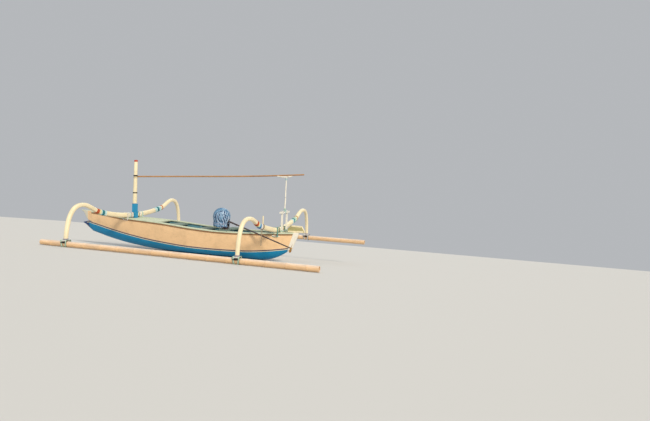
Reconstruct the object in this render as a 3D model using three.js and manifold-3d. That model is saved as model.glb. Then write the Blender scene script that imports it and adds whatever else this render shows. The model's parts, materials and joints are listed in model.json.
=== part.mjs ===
// Double-outrigger sailing canoe, parked on a beach, in millimetres.
// The boat is laid out level: x runs forward to the bow, y to port and z up, with the rear boom
// at x = 0 and the centre line of the two floats at z = 0. At the end the whole boat is heeled
// until the keel and the port float share one floor, which is how such a canoe stands ashore.
import * as THREE from 'three';
import Module from 'manifold-3d';

const wasm = await Module();
wasm.setup();

// Driving dimensions
const boomSpacing = 3200;
const floatSpan = 1875;
const floatRadius = 50;
const floatAft = -1340;
const floatFore = 3700;
const keelDepth = 272;
const plankThickness = 24;
const dugoutThickness = 30;
const seat = 0.3;

// Paint and wood colours, as red, green and blue hex values
const paint = {
  blue: 0x1573b5,
  cream: 0xe2c08c,
  pale: 0xe9e2c4,
  green: 0xb4c4a4,
  white: 0xe6e4dc,
  bamboo: 0xd9b98f,
  brown: 0xa06a3c,
  rope: 0xc9b487,
  wood: 0xa98a63,
  tarp: 0x3f78b5,
  steel: 0x5a5c66,
  brass: 0xa8864a,
};

const canoe = new THREE.Group();

function add(name, geometry, colour, roughness = 0.6, metalness = 0) {
  const material = new THREE.MeshStandardMaterial({ color: colour, roughness, metalness });
  const mesh = new THREE.Mesh(geometry, material);
  mesh.name = name;
  canoe.add(mesh);
  return mesh;
}

function mix(a, b, t) {
  return a + (b - a) * t;
}

function clamp01(t) {
  return Math.min(1, Math.max(0, t));
}

// A closed solid through rings of equal point count, with flat or nearly flat end caps
function loft(rings) {
  const count = rings[0].length;
  const points = rings.flat().map((p) => new THREE.Vector3(...p));
  const faces = [];
  for (let r = 0; r < rings.length - 1; r += 1) {
    for (let i = 0; i < count; i += 1) {
      const a = r * count + i;
      const b = r * count + (i + 1) % count;
      faces.push([a, b, b + count], [a, b + count, a + count]);
    }
  }
  const lastStart = (rings.length - 1) * count;
  capFaces(points.slice(0, count)).forEach(([a, b, c]) => faces.push([a, c, b]));
  capFaces(points.slice(lastStart)).forEach(([a, b, c]) => {
    faces.push([lastStart + a, lastStart + b, lastStart + c]);
  });
  return solid(points, faces);
}

// Triangles of one planar ring, wound the way the ring itself runs
function capFaces(ring) {
  const normal = new THREE.Vector3();
  ring.forEach((p, i) => normal.add(p.clone().cross(ring[(i + 1) % ring.length])));
  const u = ring[1].clone().sub(ring[0]).normalize();
  const v = normal.normalize().clone().cross(u);
  const flat = ring.map((p) => new THREE.Vector2(p.dot(u), p.dot(v)));
  return THREE.ShapeUtils.triangulateShape(flat, []);
}

// An indexed geometry whose faces point outwards
function solid(points, faces) {
  let volume = 0;
  for (const [a, b, c] of faces) {
    volume += points[a].dot(points[b].clone().cross(points[c]));
  }
  const outward = volume > 0 ? faces : faces.map(([a, b, c]) => [a, c, b]);
  const geometry = new THREE.BufferGeometry();
  geometry.setAttribute('position', new THREE.Float32BufferAttribute(
    points.flatMap((p) => [p.x, p.y, p.z]), 3));
  geometry.setIndex(outward.flat());
  return geometry;
}

function toManifold(geometry) {
  const mesh = new wasm.Mesh({
    numProp: 3,
    vertProperties: new Float32Array(geometry.attributes.position.array),
    triVerts: new Uint32Array(geometry.index.array),
  });
  return new wasm.Manifold(mesh);
}

function fromManifold(body) {
  const mesh = body.getMesh();
  const geometry = new THREE.BufferGeometry();
  geometry.setAttribute('position', new THREE.Float32BufferAttribute(mesh.vertProperties, 3));
  geometry.setIndex(Array.from(mesh.triVerts));
  return geometry;
}

function join(...geometries) {
  return fromManifold(geometries.map(toManifold).reduce((sum, part) => sum.add(part)));
}

// Rows of numbers with a new row between each two, on a smooth curve through them all
function smoothed(rows) {
  const beyond = (end, next) => end.map((value, k) => 2 * value - next[k]);
  return rows.flatMap((row, i) => {
    if (i === rows.length - 1) return [row];
    const next = rows[i + 1];
    const before = rows[i - 1] ?? beyond(row, next);
    const after = rows[i + 2] ?? beyond(next, row);
    return [row, row.map((value, k) => (9 * (value + next[k]) - before[k] - after[k]) / 16)];
  });
}

// A plain block between two corners
function block([x0, y0, z0], [x1, y1, z1]) {
  const ring = (x) => [[x, y0, z0], [x, y1, z0], [x, y1, z1], [x, y0, z1]];
  return loft([ring(x0), ring(x1)]);
}

// A round bar from one point to another, with its own radius at each end
function roundBar(from, to, radiusFrom, radiusTo, sides = 16) {
  const start = new THREE.Vector3(...from);
  const end = new THREE.Vector3(...to);
  const along = end.clone().sub(start).normalize();
  const across = Math.abs(along.z) < 0.9 ? new THREE.Vector3(0, 0, 1) : new THREE.Vector3(1, 0, 0);
  const u = across.clone().cross(along).normalize();
  const v = along.clone().cross(u);
  const ring = (centre, radius) => Array.from({ length: sides }, (_, i) => {
    const angle = (i + 0.5) / sides * 2 * Math.PI;
    const p = centre.clone().addScaledVector(u, radius * Math.cos(angle));
    return p.addScaledVector(v, radius * Math.sin(angle)).toArray();
  });
  return loft([ring(start, radiusFrom), ring(end, radiusTo)]);
}

// Hull lines from stern to bow, in columns: station, height of the sheer, half width at the sheer,
// height of the painted line where the planks meet the dugout, half width there, height of the keel
const hullTable = [
  [-222, 309, 84, 10, 60, -70],
  [-60, 300, 158, -16, 126, -184],
  [200, 285, 230, -50, 186, -258],
  [600, 266, 290, -86, 236, -272],
  [1200, 257, 322, -102, 264, -272],
  [1800, 285, 324, -96, 264, -272],
  [2300, 322, 308, -64, 250, -264],
  [2800, 342, 278, -18, 222, -232],
  [3300, 358, 228, 48, 178, -176],
  [3700, 396, 168, 112, 130, -104],
  [3950, 411, 120, 156, 92, -46],
  [4150, 419, 78, 186, 58, 2],
];
const hullLines = smoothed(hullTable).map(([x, sheer, half, line, lineHalf, keel]) => (
  { x, sheer, half, line, lineHalf, keel: Math.max(keel, -keelDepth) }));
const keelFlat = 20;
const capHeight = 26;
const capOverhang = 10;
const capInset = 48;
const capInsetShare = 0.55;
const sternRake = 0.316;
const sternRakeReach = 600;

// How far the gunwale cap reaches in from the sheer
function capInsetAt(s) {
  return Math.min(capInset, s.half * capInsetShare);
}

// Hull line values at any station
function lineAt(x) {
  const last = hullLines.length - 1;
  const i = Math.min(last - 1, Math.max(0, hullLines.findIndex((s) => s.x > x) - 1));
  const [a, b] = [hullLines[i], hullLines[i + 1]];
  const t = clamp01((x - a.x) / (b.x - a.x));
  return Object.fromEntries(Object.keys(a).map((key) => [key, mix(a[key], b[key], t)]));
}

// The stern leans back with height, less and less further forward
function raked(x, z) {
  const share = clamp01(1 - (x - hullLines[0].x) / sternRakeReach);
  return x - z * sternRake * share;
}

// Hull line values where the sheer itself, with its rake, stands at x
function sheerAt(x) {
  let station = x;
  for (let i = 0; i < 8; i += 1) {
    station += x - raked(station, lineAt(station).sheer);
  }
  return lineAt(station);
}

// One side of the bottom, from the painted line down to the keel
const bottomSteps = 5;
function bottomCurve(half, line, keel) {
  return Array.from({ length: bottomSteps + 1 }, (_, i) => {
    const angle = (1 - i / bottomSteps) * Math.PI / 2;
    return [keelFlat + (half - keelFlat) * Math.sin(angle), mix(line, keel, Math.cos(angle))];
  });
}

function section(x, halfPoints, innerPoints) {
  const mirrored = (points) => points.map(([y, z]) => [-y, z]).reverse();
  const outline = [...halfPoints, ...mirrored(halfPoints)];
  const inside = [...innerPoints, ...mirrored(innerPoints)].reverse();
  return [...outline, ...inside].map(([y, z]) => [raked(x, z), y, z]);
}

// The blue dugout below the painted line, thicker along the keel than at its sides
const keelThickness = 42;
const innerBottom = (s, side, clearance) => bottomCurve(
  s.lineHalf - side - clearance, s.line, s.keel + keelThickness + clearance);
add('hull_dugout', loft(hullLines.map((s) => {
  const thick = Math.min(dugoutThickness, s.lineHalf * 0.5);
  const outer = bottomCurve(s.lineHalf, s.line, s.keel);
  return section(s.x, outer, innerBottom(s, thick, 0));
})), paint.blue, 0.5);

// The cream side planks, standing on the dugout
const plankBulge = 8;
for (const [side, sign] of [['port', 1], ['starboard', -1]]) {
  add(`side_plank_${side}`, loft(hullLines.map((s) => {
    const low = s.line + seat;
    const high = s.sheer - capHeight - seat;
    const outer = [0, 0.5, 1].map((t) => [
      mix(s.lineHalf, s.half, t) + plankBulge * Math.sin(Math.PI * t), mix(low, high, t)]);
    const inner = outer.map(([y, z]) => [y - plankThickness, z]).reverse();
    return [...outer, ...inner].map(([y, z]) => [raked(s.x, z), sign * y, z]);
  })), paint.cream, 0.6);

  add(`gunwale_${side}`, loft(hullLines.map((s) => {
    const inner = s.half - capInsetAt(s);
    const low = s.sheer - capHeight;
    return [[s.half + capOverhang, low], [s.half + capOverhang, s.sheer],
      [inner, s.sheer], [inner, low],
    ].map(([y, z]) => [raked(s.x, z), sign * y, z]);
  })), paint.green, 0.6);
}

// The white stern post closes the aft ends, and leans back over its foot
const sternPostDepth = 70;
const sternPostLean = 0.08;
const sternPostHalf = 12;
const sternPostFlare = 0.1;
const sternLine = hullLines[0];
const sternPostRise = 60;
const sternOutline = (shift, lean, half, foot) => {
  const side = [[sternLine.half, sternLine.sheer], [sternLine.lineHalf, sternLine.line],
    [sternLine.lineHalf * 0.7, mix(sternLine.line, sternLine.keel, 0.6)], [keelFlat, foot]];
  const port = side.map(([y, z]) => [half(y), z]);
  const both = [...port, ...port.map(([y, z]) => [-y, z]).reverse()];
  return both.map(([y, z]) => [raked(sternLine.x, z) - shift - z * lean, y, z]);
};
add('stern_post', loft([
  sternOutline(seat, 0, (y) => y, sternLine.keel),
  sternOutline(sternPostDepth, sternPostLean, (y) => sternPostHalf + y * sternPostFlare,
    sternLine.keel + sternPostRise),
]), paint.white, 0.6);

// The stern ends in a raised board, seated on the gunwale ends and reaching out over the post
const tailRings = [
  { x: -190, high: 376, half: 46 },
  { x: -249, high: 439, half: 44 },
  { x: -454, high: 434, half: 30 },
  { x: -512, high: 343, half: 24 },
];
add('stern_tail', loft(tailRings.map(({ x, high, half }) => {
  const low = sternLine.sheer + seat;
  return [[x, half, low], [x, half, high], [x, -half, high], [x, -half, low]];
})), paint.pale, 0.6);

// The bow gapes: an upper beak and a lower jaw reach past the last hull station
const bowLine = hullLines[hullLines.length - 1];
const beakRings = [
  { x: bowLine.x + seat, low: bowLine.line + seat, high: bowLine.sheer, lowHalf: 58, highHalf: 78 },
  { x: 4237, low: 216, high: 421, lowHalf: 42, highHalf: 60 },
  { x: 4296, low: 250, high: 423, lowHalf: 33, highHalf: 47 },
  { x: 4340, low: 306, high: 425, lowHalf: 26, highHalf: 36 },
  { x: 4384, low: 374, high: 427, lowHalf: 18, highHalf: 26 },
  { x: 4448, low: 408, high: 428, lowHalf: 9, highHalf: 12 },
];
const jawRings = [
  { x: bowLine.x + seat, low: bowLine.keel, high: bowLine.line, lowHalf: 14, highHalf: 58 },
  { x: 4237, low: 56, high: 208, lowHalf: 11, highHalf: 42 },
  { x: 4320, low: 116, high: 189, lowHalf: 9, highHalf: 26 },
  { x: 4400, low: 158, high: 172, lowHalf: 5, highHalf: 8 },
];
const bowRing = (r) => [[r.x, r.lowHalf, r.low], [r.x, r.highHalf, r.high],
  [r.x, -r.highHalf, r.high], [r.x, -r.lowHalf, r.low]];
add('bow_beak', loft(beakRings.map(bowRing)), paint.cream, 0.6);
add('bow_jaw', loft(jawRings.map(bowRing)), paint.blue, 0.5);

// Deck boards and thwarts lie between the inner edges of the gunwale caps
const deckClearance = 1;
function deckBoard(from, to, thickness, drop) {
  const stations = [from, ...hullLines.map((s) => s.x).filter((x) => x > from && x < to), to];
  return loft(stations.map((x) => {
    const s = lineAt(x);
    const half = s.half - capInsetAt(s) - deckClearance;
    const top = s.sheer - drop;
    return [[half, top - thickness], [half, top], [-half, top], [-half, top - thickness]]
      .map(([y, z]) => [raked(x, z), y, z]);
  }));
}
const deckDrop = 8;
const deckThickness = 18;
add('foredeck', deckBoard(2480, 4140, deckThickness, deckDrop), paint.green, 0.6);
add('aftdeck', deckBoard(-212, 130, deckThickness, deckDrop), paint.green, 0.6);

const thwartThickness = 22;
const thwarts = [
  { name: 'thwart_aft', x: 520, width: 190 },
  { name: 'thwart_middle', x: 1560, width: 200 },
  { name: 'thwart_fore', x: 2180, width: 200 },
];
for (const thwart of thwarts) {
  const aft = thwart.x - thwart.width / 2;
  add(thwart.name, deckBoard(aft, aft + thwart.width, thwartThickness, capHeight), paint.wood, 0.7);
}

// Floor boards lie low in the dugout, over the ribs
const floorHeight = -150;
const floorThickness = 18;
const floorHalf = 110;
add('floor_boards', block([420, -floorHalf, floorHeight], [2500, floorHalf, floorHeight + floorThickness]),
  paint.wood, 0.75);
const ribWidth = 36;
const ribTopHalf = 128;
const ribClearance = 1.2;
for (const [index, x] of [640, 1380, 2120].entries()) {
  const rib = (at) => {
    const inner = innerBottom(lineAt(at), dugoutThickness, ribClearance);
    const low = inner.filter(([, z]) => z < floorHeight - ribClearance);
    const side = [[ribTopHalf, floorHeight - seat], ...low];
    return [...side, ...side.map(([y, z]) => [-y, z]).reverse()].map(([y, z]) => [at, y, z]);
  };
  add(`rib_${index + 1}`, loft([rib(x), rib(x + ribWidth)]), paint.wood, 0.75);
}

// Booms: a centre beam across the gunwales and one curved arm down to each float. An arm's table
// gives y, z and thickness along its middle, from the beam's end over the arch and down the leg.
// The starboard arm drifts a little forward on its way out.
const beamEnd = 1010;
const booms = [
  {
    name: 'front',
    x: boomSpacing,
    width: 80,
    depth: 100,
    endDepth: 92,
    endHeight: 505,
    bend: 2,
    drift: 50,
    arm: [[1100, 532, 82], [1200, 574, 80], [1300, 618, 78], [1390, 650, 77], [1480, 662, 76],
      [1565, 656, 76], [1645, 630, 75], [1716, 580, 74], [1777, 498, 73], [1824, 388, 72],
      [1856, 240, 70], [1870, 130, 68]],
    foot: 66,
  },
  {
    name: 'rear',
    x: 0,
    width: 74,
    depth: 90,
    endDepth: 86,
    endHeight: 487,
    bend: 1.3,
    drift: 0,
    arm: [[1110, 528, 78], [1212, 575, 74], [1312, 613, 70], [1400, 634, 68], [1482, 641, 67],
      [1562, 637, 66], [1640, 617, 66], [1710, 579, 66], [1766, 519, 66], [1812, 428, 66],
      [1844, 318, 66], [1866, 190, 65], [1873, 115, 64]],
    foot: 64,
  },
];
const barSides = 12;
const barSquareness = 0.72;

// A bar's rounded section, with corners pushed out towards a square, in shares of its half sizes
const barSection = Array.from({ length: barSides }, (_, i) => {
  const angle = (i + 0.5) / barSides * 2 * Math.PI;
  const widest = Math.cos(Math.PI / barSides) ** barSquareness;
  const squared = (value) => Math.sign(value) * Math.abs(value) ** barSquareness / widest;
  return [squared(Math.cos(angle)), squared(Math.sin(angle))];
});

// A bar that runs across the boat, through rows of x, y, z, depth, and breadth along x
function bentBar(path, startSlope) {
  return loft(path.map(([x, y, z, depth, breadth], i) => {
    const before = path[Math.max(0, i - 1)];
    const after = path[Math.min(path.length - 1, i + 1)];
    const along = new THREE.Vector2(after[1] - before[1], after[2] - before[2]).normalize();
    if (i === 0 && startSlope) along.copy(startSlope);
    const up = new THREE.Vector2(-along.y, along.x);
    return barSection.map(([a, b]) => (
      [x + a * breadth / 2, y + up.x * b * depth / 2, z + up.y * b * depth / 2]));
  }));
}

// The same shape on the other side of the boat
function mirrorImage(geometry) {
  const mirrored = geometry.clone().scale(1, -1, 1);
  const order = Array.from(mirrored.index.array);
  for (let i = 0; i < order.length; i += 3) {
    [order[i + 1], order[i + 2]] = [order[i + 2], order[i + 1]];
  }
  mirrored.setIndex(order);
  return mirrored;
}

const beamSteps = 16;
for (const boom of booms) {
  const { name, x, width, depth, endDepth, endHeight, bend } = boom;
  const top = Math.max(sheerAt(x - width / 2).sheer, sheerAt(x + width / 2).sheer);
  const contact = sheerAt(x).half - capInset;
  const level = top + seat + depth / 2;
  const rise = (endHeight - level) / (beamEnd ** bend - contact ** bend);
  boom.height = (y) => level + rise * Math.max(0, Math.abs(y) ** bend - contact ** bend);
  const beam = Array.from({ length: beamSteps + 1 }, (_, i) => {
    const y = mix(-beamEnd, beamEnd, i / beamSteps);
    return [x, y, boom.height(y), mix(depth, endDepth, Math.abs(y / beamEnd)), width];
  });
  add(`${name}_boom`, bentBar(beam), paint.pale, 0.55);

  const [inner, end] = beam.slice(-2);
  const endSlope = new THREE.Vector2(end[1] - inner[1], end[2] - inner[2]).normalize();
  const start = [x, end[1] + endSlope.x * seat, end[2] + endSlope.y * seat, endDepth, width];
  const outwards = [...boom.arm, [floatSpan, floatRadius + seat, boom.foot]];
  const armTo = (drift) => bentBar(smoothed([start, ...outwards.map(([y, z, thickness]) => (
    [x + drift * (y - beamEnd) / (floatSpan - beamEnd), y, z, thickness, Math.min(thickness, width)]
  ))]), endSlope);
  add(`${name}_arm_port`, armTo(0), paint.pale, 0.55);
  add(`${name}_arm_starboard`, mirrorImage(armTo(boom.drift)), paint.pale, 0.55);
}
const [frontBoom, rearBoom] = booms;

// A peg stands on the rear beam to port, and a rope hangs in one long loop beside it
const pegY = 850;
const pegClearance = 2.1;
add('rear_peg', roundBar([0, pegY, rearBoom.height(pegY) + rearBoom.depth / 2 + pegClearance], [0, pegY, 650],
  14, 11, 10), paint.pale, 0.6);

// The rope's route as y and z, from the beam's underside down round the loop and up again
const ropeDiameter = 10;
const ropeRoute = [
  [866, 412.6], [866, 396], [867, 370], [869, 338], [870, 304], [870, 268], [868, 232],
  [866, 200], [865, 176], [865, 157], [868.3, 144.5], [877.5, 135.3], [890, 132], [902.5, 135.3],
  [911.7, 144.5], [915, 157], [915, 176], [914, 200], [912, 232], [910, 268], [910, 304],
  [911, 338], [913, 370], [914, 396], [914, 422],
];
add('hanging_rope', bentBar(ropeRoute.map(([y, z]) => [0, y, z, ropeDiameter, ropeDiameter])),
  paint.rope, 0.9);

// Bamboo floats, with a low ring at each node
const nodeSpacing = 330;
const nodeRise = 3;
const nodeHalf = 9;
for (const [side, sign] of [['port', 1], ['starboard', -1]]) {
  const profile = [new THREE.Vector2(0, floatAft), new THREE.Vector2(floatRadius - 3, floatAft)];
  for (let x = floatAft + 190; x < floatFore - 100; x += nodeSpacing) {
    profile.push(new THREE.Vector2(floatRadius, x - nodeHalf));
    profile.push(new THREE.Vector2(floatRadius + nodeRise, x));
    profile.push(new THREE.Vector2(floatRadius, x + nodeHalf));
  }
  profile.push(new THREE.Vector2(floatRadius - 4, floatFore), new THREE.Vector2(0, floatFore));
  const float = new THREE.LatheGeometry(profile, 16);
  float.rotateZ(-Math.PI / 2);
  add(`float_${side}`, float, paint.bamboo, 0.7).position.set(0, sign * floatSpan, 0);
}

// Mast: a narrow blue box on the deck and over the front boom, and a round mast stepped on it
const mastX = 3174;
const mastBoxTop = 634;
const mastTop = 1533;
const mastRadius = 34;
const mastTopRadius = 30;
const mastStepHalf = 50;
const mastStepRise = 24;
const beamTop = frontBoom.height(0) + frontBoom.depth / 2 + seat + 1;
const beamAft = boomSpacing - frontBoom.width / 2 - seat;
const deckTop = lineAt(mastX).sheer - deckDrop + seat + 1;
add('mast_box', join(
  block([beamAft - 42, -46, deckTop], [beamAft, 46, beamTop + mastStepRise]),
  block([mastX - mastStepHalf, -36, beamTop], [mastX + 36, 36, mastBoxTop]),
), paint.blue, 0.5);
add('mast', roundBar([mastX, 0, mastBoxTop + seat], [mastX, 0, mastTop], mastRadius, mastTopRadius),
  paint.pale, 0.55);

// Crutch behind the rear boom: two uprights on the aft deck, a cap bar, a post and a crescent
const crutchX = -100;
const crutchHalf = 133;
const uprightHalf = [13, 20];
const capBarLow = 664;
const capBarHigh = 694;
const crutchTop = 1318;
for (const [side, sign] of [['port', 1], ['starboard', -1]]) {
  const low = sheerAt(crutchX - uprightHalf[0]).sheer + seat;
  const centre = sign * crutchHalf;
  add(`crutch_upright_${side}`, block([crutchX - uprightHalf[0], centre - uprightHalf[1], low],
    [crutchX + uprightHalf[0], centre + uprightHalf[1], capBarLow - seat]), paint.white, 0.6);
}
add('crutch_cap_bar', block([crutchX - 20, -235, capBarLow], [crutchX + 20, 235, capBarHigh]),
  paint.white, 0.6);
const crescentDepth = 26;
const crescentThinning = 8;
const crescentBreadth = 34;
const crescentHalf = 420;
const crescentLift = 46;
add('crutch_post', roundBar([crutchX, 0, capBarHigh + seat],
  [crutchX, 0, crutchTop - crescentDepth / 2 - seat], 15, 12, 12), paint.white, 0.6);
const crescent = [-1, -0.8, -0.6, -0.4, -0.2, 0, 0.2, 0.4, 0.6, 0.8, 1].map((share) => [
  crutchX, share * crescentHalf, crutchTop + crescentLift * share ** 2,
  crescentDepth - crescentThinning * Math.abs(share), crescentBreadth]);
add('crutch_crescent', bentBar(crescent), paint.white, 0.6);

// The bamboo spar: lashed beside the mast at its fore end, resting on the crescent aft
const sparRadius = 16;
const sparAftRadius = 14;
const sparSides = 12;
const mastSides = 16;
const sparGap = 0.5;
const flat = (radius, sides) => radius * Math.cos(Math.PI / sides);
const sparHeight = 1186;
const sparForeX = mastX + 30;
const sparAftX = -442;
const mastShare = (sparHeight - mastBoxTop) / (mastTop - mastBoxTop);
const sparY = -(flat(mix(mastRadius, mastTopRadius, mastShare), mastSides)
  + flat(sparRadius, sparSides) + sparGap);
const sparAftY = -18;
const crutchShare = (crutchX - sparAftX) / (sparForeX - sparAftX);
const crescentClearance = 1.1;
const sparRest = crutchTop + crescentDepth / 2 + seat + crescentClearance
  + flat(mix(sparAftRadius, sparRadius, crutchShare), sparSides);
const sparSlope = (sparRest - sparHeight) / (mastX - crutchX);
const sparEnd = (x, y) => [x, y, sparHeight + (mastX - x) * sparSlope];
add('spar', roundBar(sparEnd(sparAftX, sparAftY), sparEnd(sparForeX, sparY),
  sparAftRadius, sparRadius, sparSides), paint.brown, 0.7);

// Long-tail motor: a bed plank across the gunwales, a swivel yoke, and an engine on the tilt pin.
// The motor pieces are laid out about the swivel, with their own x running forward, and the
// shaft line passes over the port gunwale and down beside the stern.
const motorX = 1010;
const motorY = 202;
const motorYaw = -Math.atan(0.2065);
const bedHeight = 26;
const bedHalf = 90;
const bedLow = Math.max(lineAt(motorX - bedHalf).sheer, lineAt(motorX + bedHalf).sheer) + seat;
const bedTop = bedLow + bedHeight;
const bedReach = lineAt(motorX).half + 8;
add('motor_bed', block([motorX - bedHalf, -bedReach, bedLow], [motorX + bedHalf, bedReach, bedTop]),
  paint.wood, 0.7);

const motor = new THREE.Group();
motor.position.set(motorX, motorY, bedTop);
motor.rotation.z = motorYaw;
canoe.add(motor);

function addToMotor(...settings) {
  motor.add(add(...settings));
}

// The swivel post turns on the bed; its fork carries the tilt pin
const pinHeight = 78;
const pinRadius = 10;
const pinSides = 16;
const forkHalf = 62;
const forkThickness = 10;
const forkCheek = (inner) => block([-22, inner, 20], [22, inner + forkThickness, pinHeight + 13]);
const pinHole = roundBar([0, -forkHalf - 5, pinHeight], [0, forkHalf + 5, pinHeight],
  pinRadius + 0.7, pinRadius + 0.7, pinSides);
addToMotor('motor_yoke', fromManifold(toManifold(join(
  roundBar([0, 0, seat], [0, 0, 24], 45, 38),
  block([-40, -forkHalf, 16], [40, forkHalf, 28]),
  forkCheek(-forkHalf),
  forkCheek(forkHalf - forkThickness),
)).subtract(toManifold(pinHole))), paint.steel, 0.5, 0.6);

// The engine cradle turns on the pin between the fork's cheeks
const cradleHalf = forkHalf - forkThickness - 5;
const engineAft = -10;
const engineFore = 220;
const engineHalf = 87.2;
const engineLow = pinHeight + 22;
const engineTop = engineLow + 200;
addToMotor('engine_cradle', join(
  roundBar([0, -forkHalf, pinHeight], [0, forkHalf, pinHeight], pinRadius, pinRadius, pinSides),
  block([-14, -cradleHalf, pinHeight], [14, cradleHalf, pinHeight + 15]),
  block([engineAft, -cradleHalf, pinHeight + 14], [engineFore, cradleHalf, engineLow - seat]),
), paint.steel, 0.5, 0.6);
addToMotor('engine_block', block([engineAft, -engineHalf, engineLow],
  [engineFore, engineHalf, engineTop]), paint.steel, 0.5, 0.5);

// Shaft line, in the motor's own frame: height over the swivel, and fall along the way aft
const shaftHeight = 458 - bedTop;
const shaftFall = 0.2634;
const shaftRadius = 13;
const shaftPoint = (x) => [x, 0, shaftHeight + x * shaftFall];
const shaftAft = -1440;
addToMotor('shaft_tube', roundBar(shaftPoint(engineAft - 5), shaftPoint(shaftAft),
  shaftRadius + 5, shaftRadius - 2, 12), paint.steel, 0.5, 0.4);

// Two-bladed propeller on the end of the shaft. Its blade table gives reach, half width and half
// thickness from root to tip.
const hubLength = 50;
const bladeReach = 85;
const bladeRings = [[6, 12, 3.5], [40, 26, 3], [70, 24, 2.2], [bladeReach, 12, 1.6]];
const propeller = new THREE.Group();
propeller.position.set(...shaftPoint(shaftAft - seat));
propeller.rotation.y = -Math.atan(shaftFall);
const bladeTwist = 0.55;
const blades = [-1, 1].map((sign) => {
  const ring = (z, half, thick) => [[-thick, -half], [thick, -half], [thick, half], [-thick, half]]
    .map(([a, b]) => {
      const turn = sign * bladeTwist;
      const across = a * Math.cos(turn) - b * Math.sin(turn) - hubLength / 2;
      return [across, a * Math.sin(turn) + b * Math.cos(turn), sign * z];
    });
  return loft(bladeRings.map((row) => ring(...row)));
});
const hub = roundBar([0, 0, 0], [-hubLength, 0, 0], 15, 11, 12);
const propellerMesh = add('propeller', join(hub, ...blades), paint.brass, 0.35, 0.9);
propeller.add(propellerMesh);
motor.add(propeller);

// The cover over the engine, a round bundle over a flared skirt, open below
const coverCentreX = (engineAft + engineFore) / 2;
const coverHalfX = 182;
const coverHalfY = 168;
const coverThickness = 12;
const coverSides = 20;
const coverRings = [
  { z: 27, scale: 1.12 }, { z: 75, scale: 1.01 }, { z: 120, scale: 0.95 }, { z: 190, scale: 1 },
  { z: 265, scale: 1 }, { z: 330, scale: 0.86 }, { z: 385, scale: 0.58 }, { z: 412, scale: 0.25 },
];
const coverRing = ({ z, scale }, inset) => Array.from({ length: coverSides }, (_, i) => {
  const angle = (i + 0.5) / coverSides * 2 * Math.PI;
  return [coverCentreX + (coverHalfX * scale - inset) * Math.cos(angle),
    (coverHalfY * scale - inset) * Math.sin(angle), z];
});
const coverInside = coverRings.slice(0, -1).map(({ z, scale }, i) => coverRing(
  { z: z - (i === 0 ? 1 : coverThickness), scale }, coverThickness));
const slotHalf = 34;
const shaftSlot = block([coverCentreX - 300, -slotHalf, 40], [engineAft - 20, slotHalf, 220]);
addToMotor('engine_cover', fromManifold(toManifold(loft(coverRings.map((r) => coverRing(r, 0))))
  .subtract(toManifold(loft(coverInside)))
  .subtract(toManifold(shaftSlot))), paint.tarp, 0.8);

// Ashore the canoe leans on its port float: heel it until keel and float share one floor
const lean = floatSpan - keelFlat;
const floatReach = floatRadius + nodeRise;
const heel = Math.acos(floatReach / Math.hypot(keelDepth, lean)) - Math.atan2(lean, keelDepth);
const ashore = new THREE.Group();
ashore.rotation.x = -heel;
ashore.add(canoe);
const reach = new THREE.Box3().setFromObject(ashore, true);
const middle = reach.getCenter(new THREE.Vector3());
ashore.position.set(-middle.x, -middle.y, -reach.min.z);

export default ashore;
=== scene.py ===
"""Double-outrigger canoe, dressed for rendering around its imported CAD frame.

Shapes are worked out in the boat's own frame, in millimetres, as the part's source does: x runs
forward to the bow from the rear boom, y to port, and z up from the centre line of the floats.
boat_to_row turns them into the row's frame, in metres, where the boat stands heeled.
"""
import json
import random
from math import atan, atan2, copysign, cos, degrees, dist, exp, hypot, pi, radians, sin, sqrt

import bmesh
import bpy
import numpy
from mathutils import Matrix, Vector, kdtree, noise
from mathutils.geometry import convex_hull_2d, delaunay_2d_cdt


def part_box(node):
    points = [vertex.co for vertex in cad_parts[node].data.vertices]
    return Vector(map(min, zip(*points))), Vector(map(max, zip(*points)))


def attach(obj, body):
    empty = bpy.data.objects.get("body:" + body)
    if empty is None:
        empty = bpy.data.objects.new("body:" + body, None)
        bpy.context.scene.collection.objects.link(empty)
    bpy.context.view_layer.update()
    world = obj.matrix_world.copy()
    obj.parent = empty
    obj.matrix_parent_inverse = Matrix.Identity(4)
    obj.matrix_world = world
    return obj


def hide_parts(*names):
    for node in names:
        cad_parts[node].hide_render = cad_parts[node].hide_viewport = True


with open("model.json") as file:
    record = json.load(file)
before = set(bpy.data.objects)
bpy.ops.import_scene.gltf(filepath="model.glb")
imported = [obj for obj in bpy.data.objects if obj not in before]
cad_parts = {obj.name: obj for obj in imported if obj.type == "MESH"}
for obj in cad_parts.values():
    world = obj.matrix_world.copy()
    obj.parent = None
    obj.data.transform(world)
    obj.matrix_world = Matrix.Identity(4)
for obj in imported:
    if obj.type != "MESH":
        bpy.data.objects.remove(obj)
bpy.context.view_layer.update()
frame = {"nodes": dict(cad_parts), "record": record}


def middle(node):
    low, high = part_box(node)
    return (Vector(low) + Vector(high)) / 2


port_float = middle("float_port")
starboard_float = middle("float_starboard")
across = port_float - starboard_float
HEEL = atan2(across.z, across.y)
origin = (port_float + starboard_float) / 2
origin.x = middle("rear_boom").x
boat_to_row = (Matrix.Translation(origin) @ Matrix.Rotation(HEEL, 4, "X")
               @ Matrix.Scale(0.001, 4))
row_to_boat = boat_to_row.inverted()


def add_object(name, data):
    thing = bpy.data.objects.new(name, data)
    bpy.context.scene.collection.objects.link(thing)
    return thing


def configure(thing, **values):
    for key, value in values.items():
        setattr(thing, key, value)
    return thing


# Camera, in the boat's frame: place in millimetres and turns in radians about z, x and y
CAMERA_PLACE = (-3286.4, 9228.8, 1366.4)
CAMERA_TURNS = (-0.254, -0.063, -0.053)
CAMERA_LENS = 28.352
SENSOR_WIDTH = 36


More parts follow.
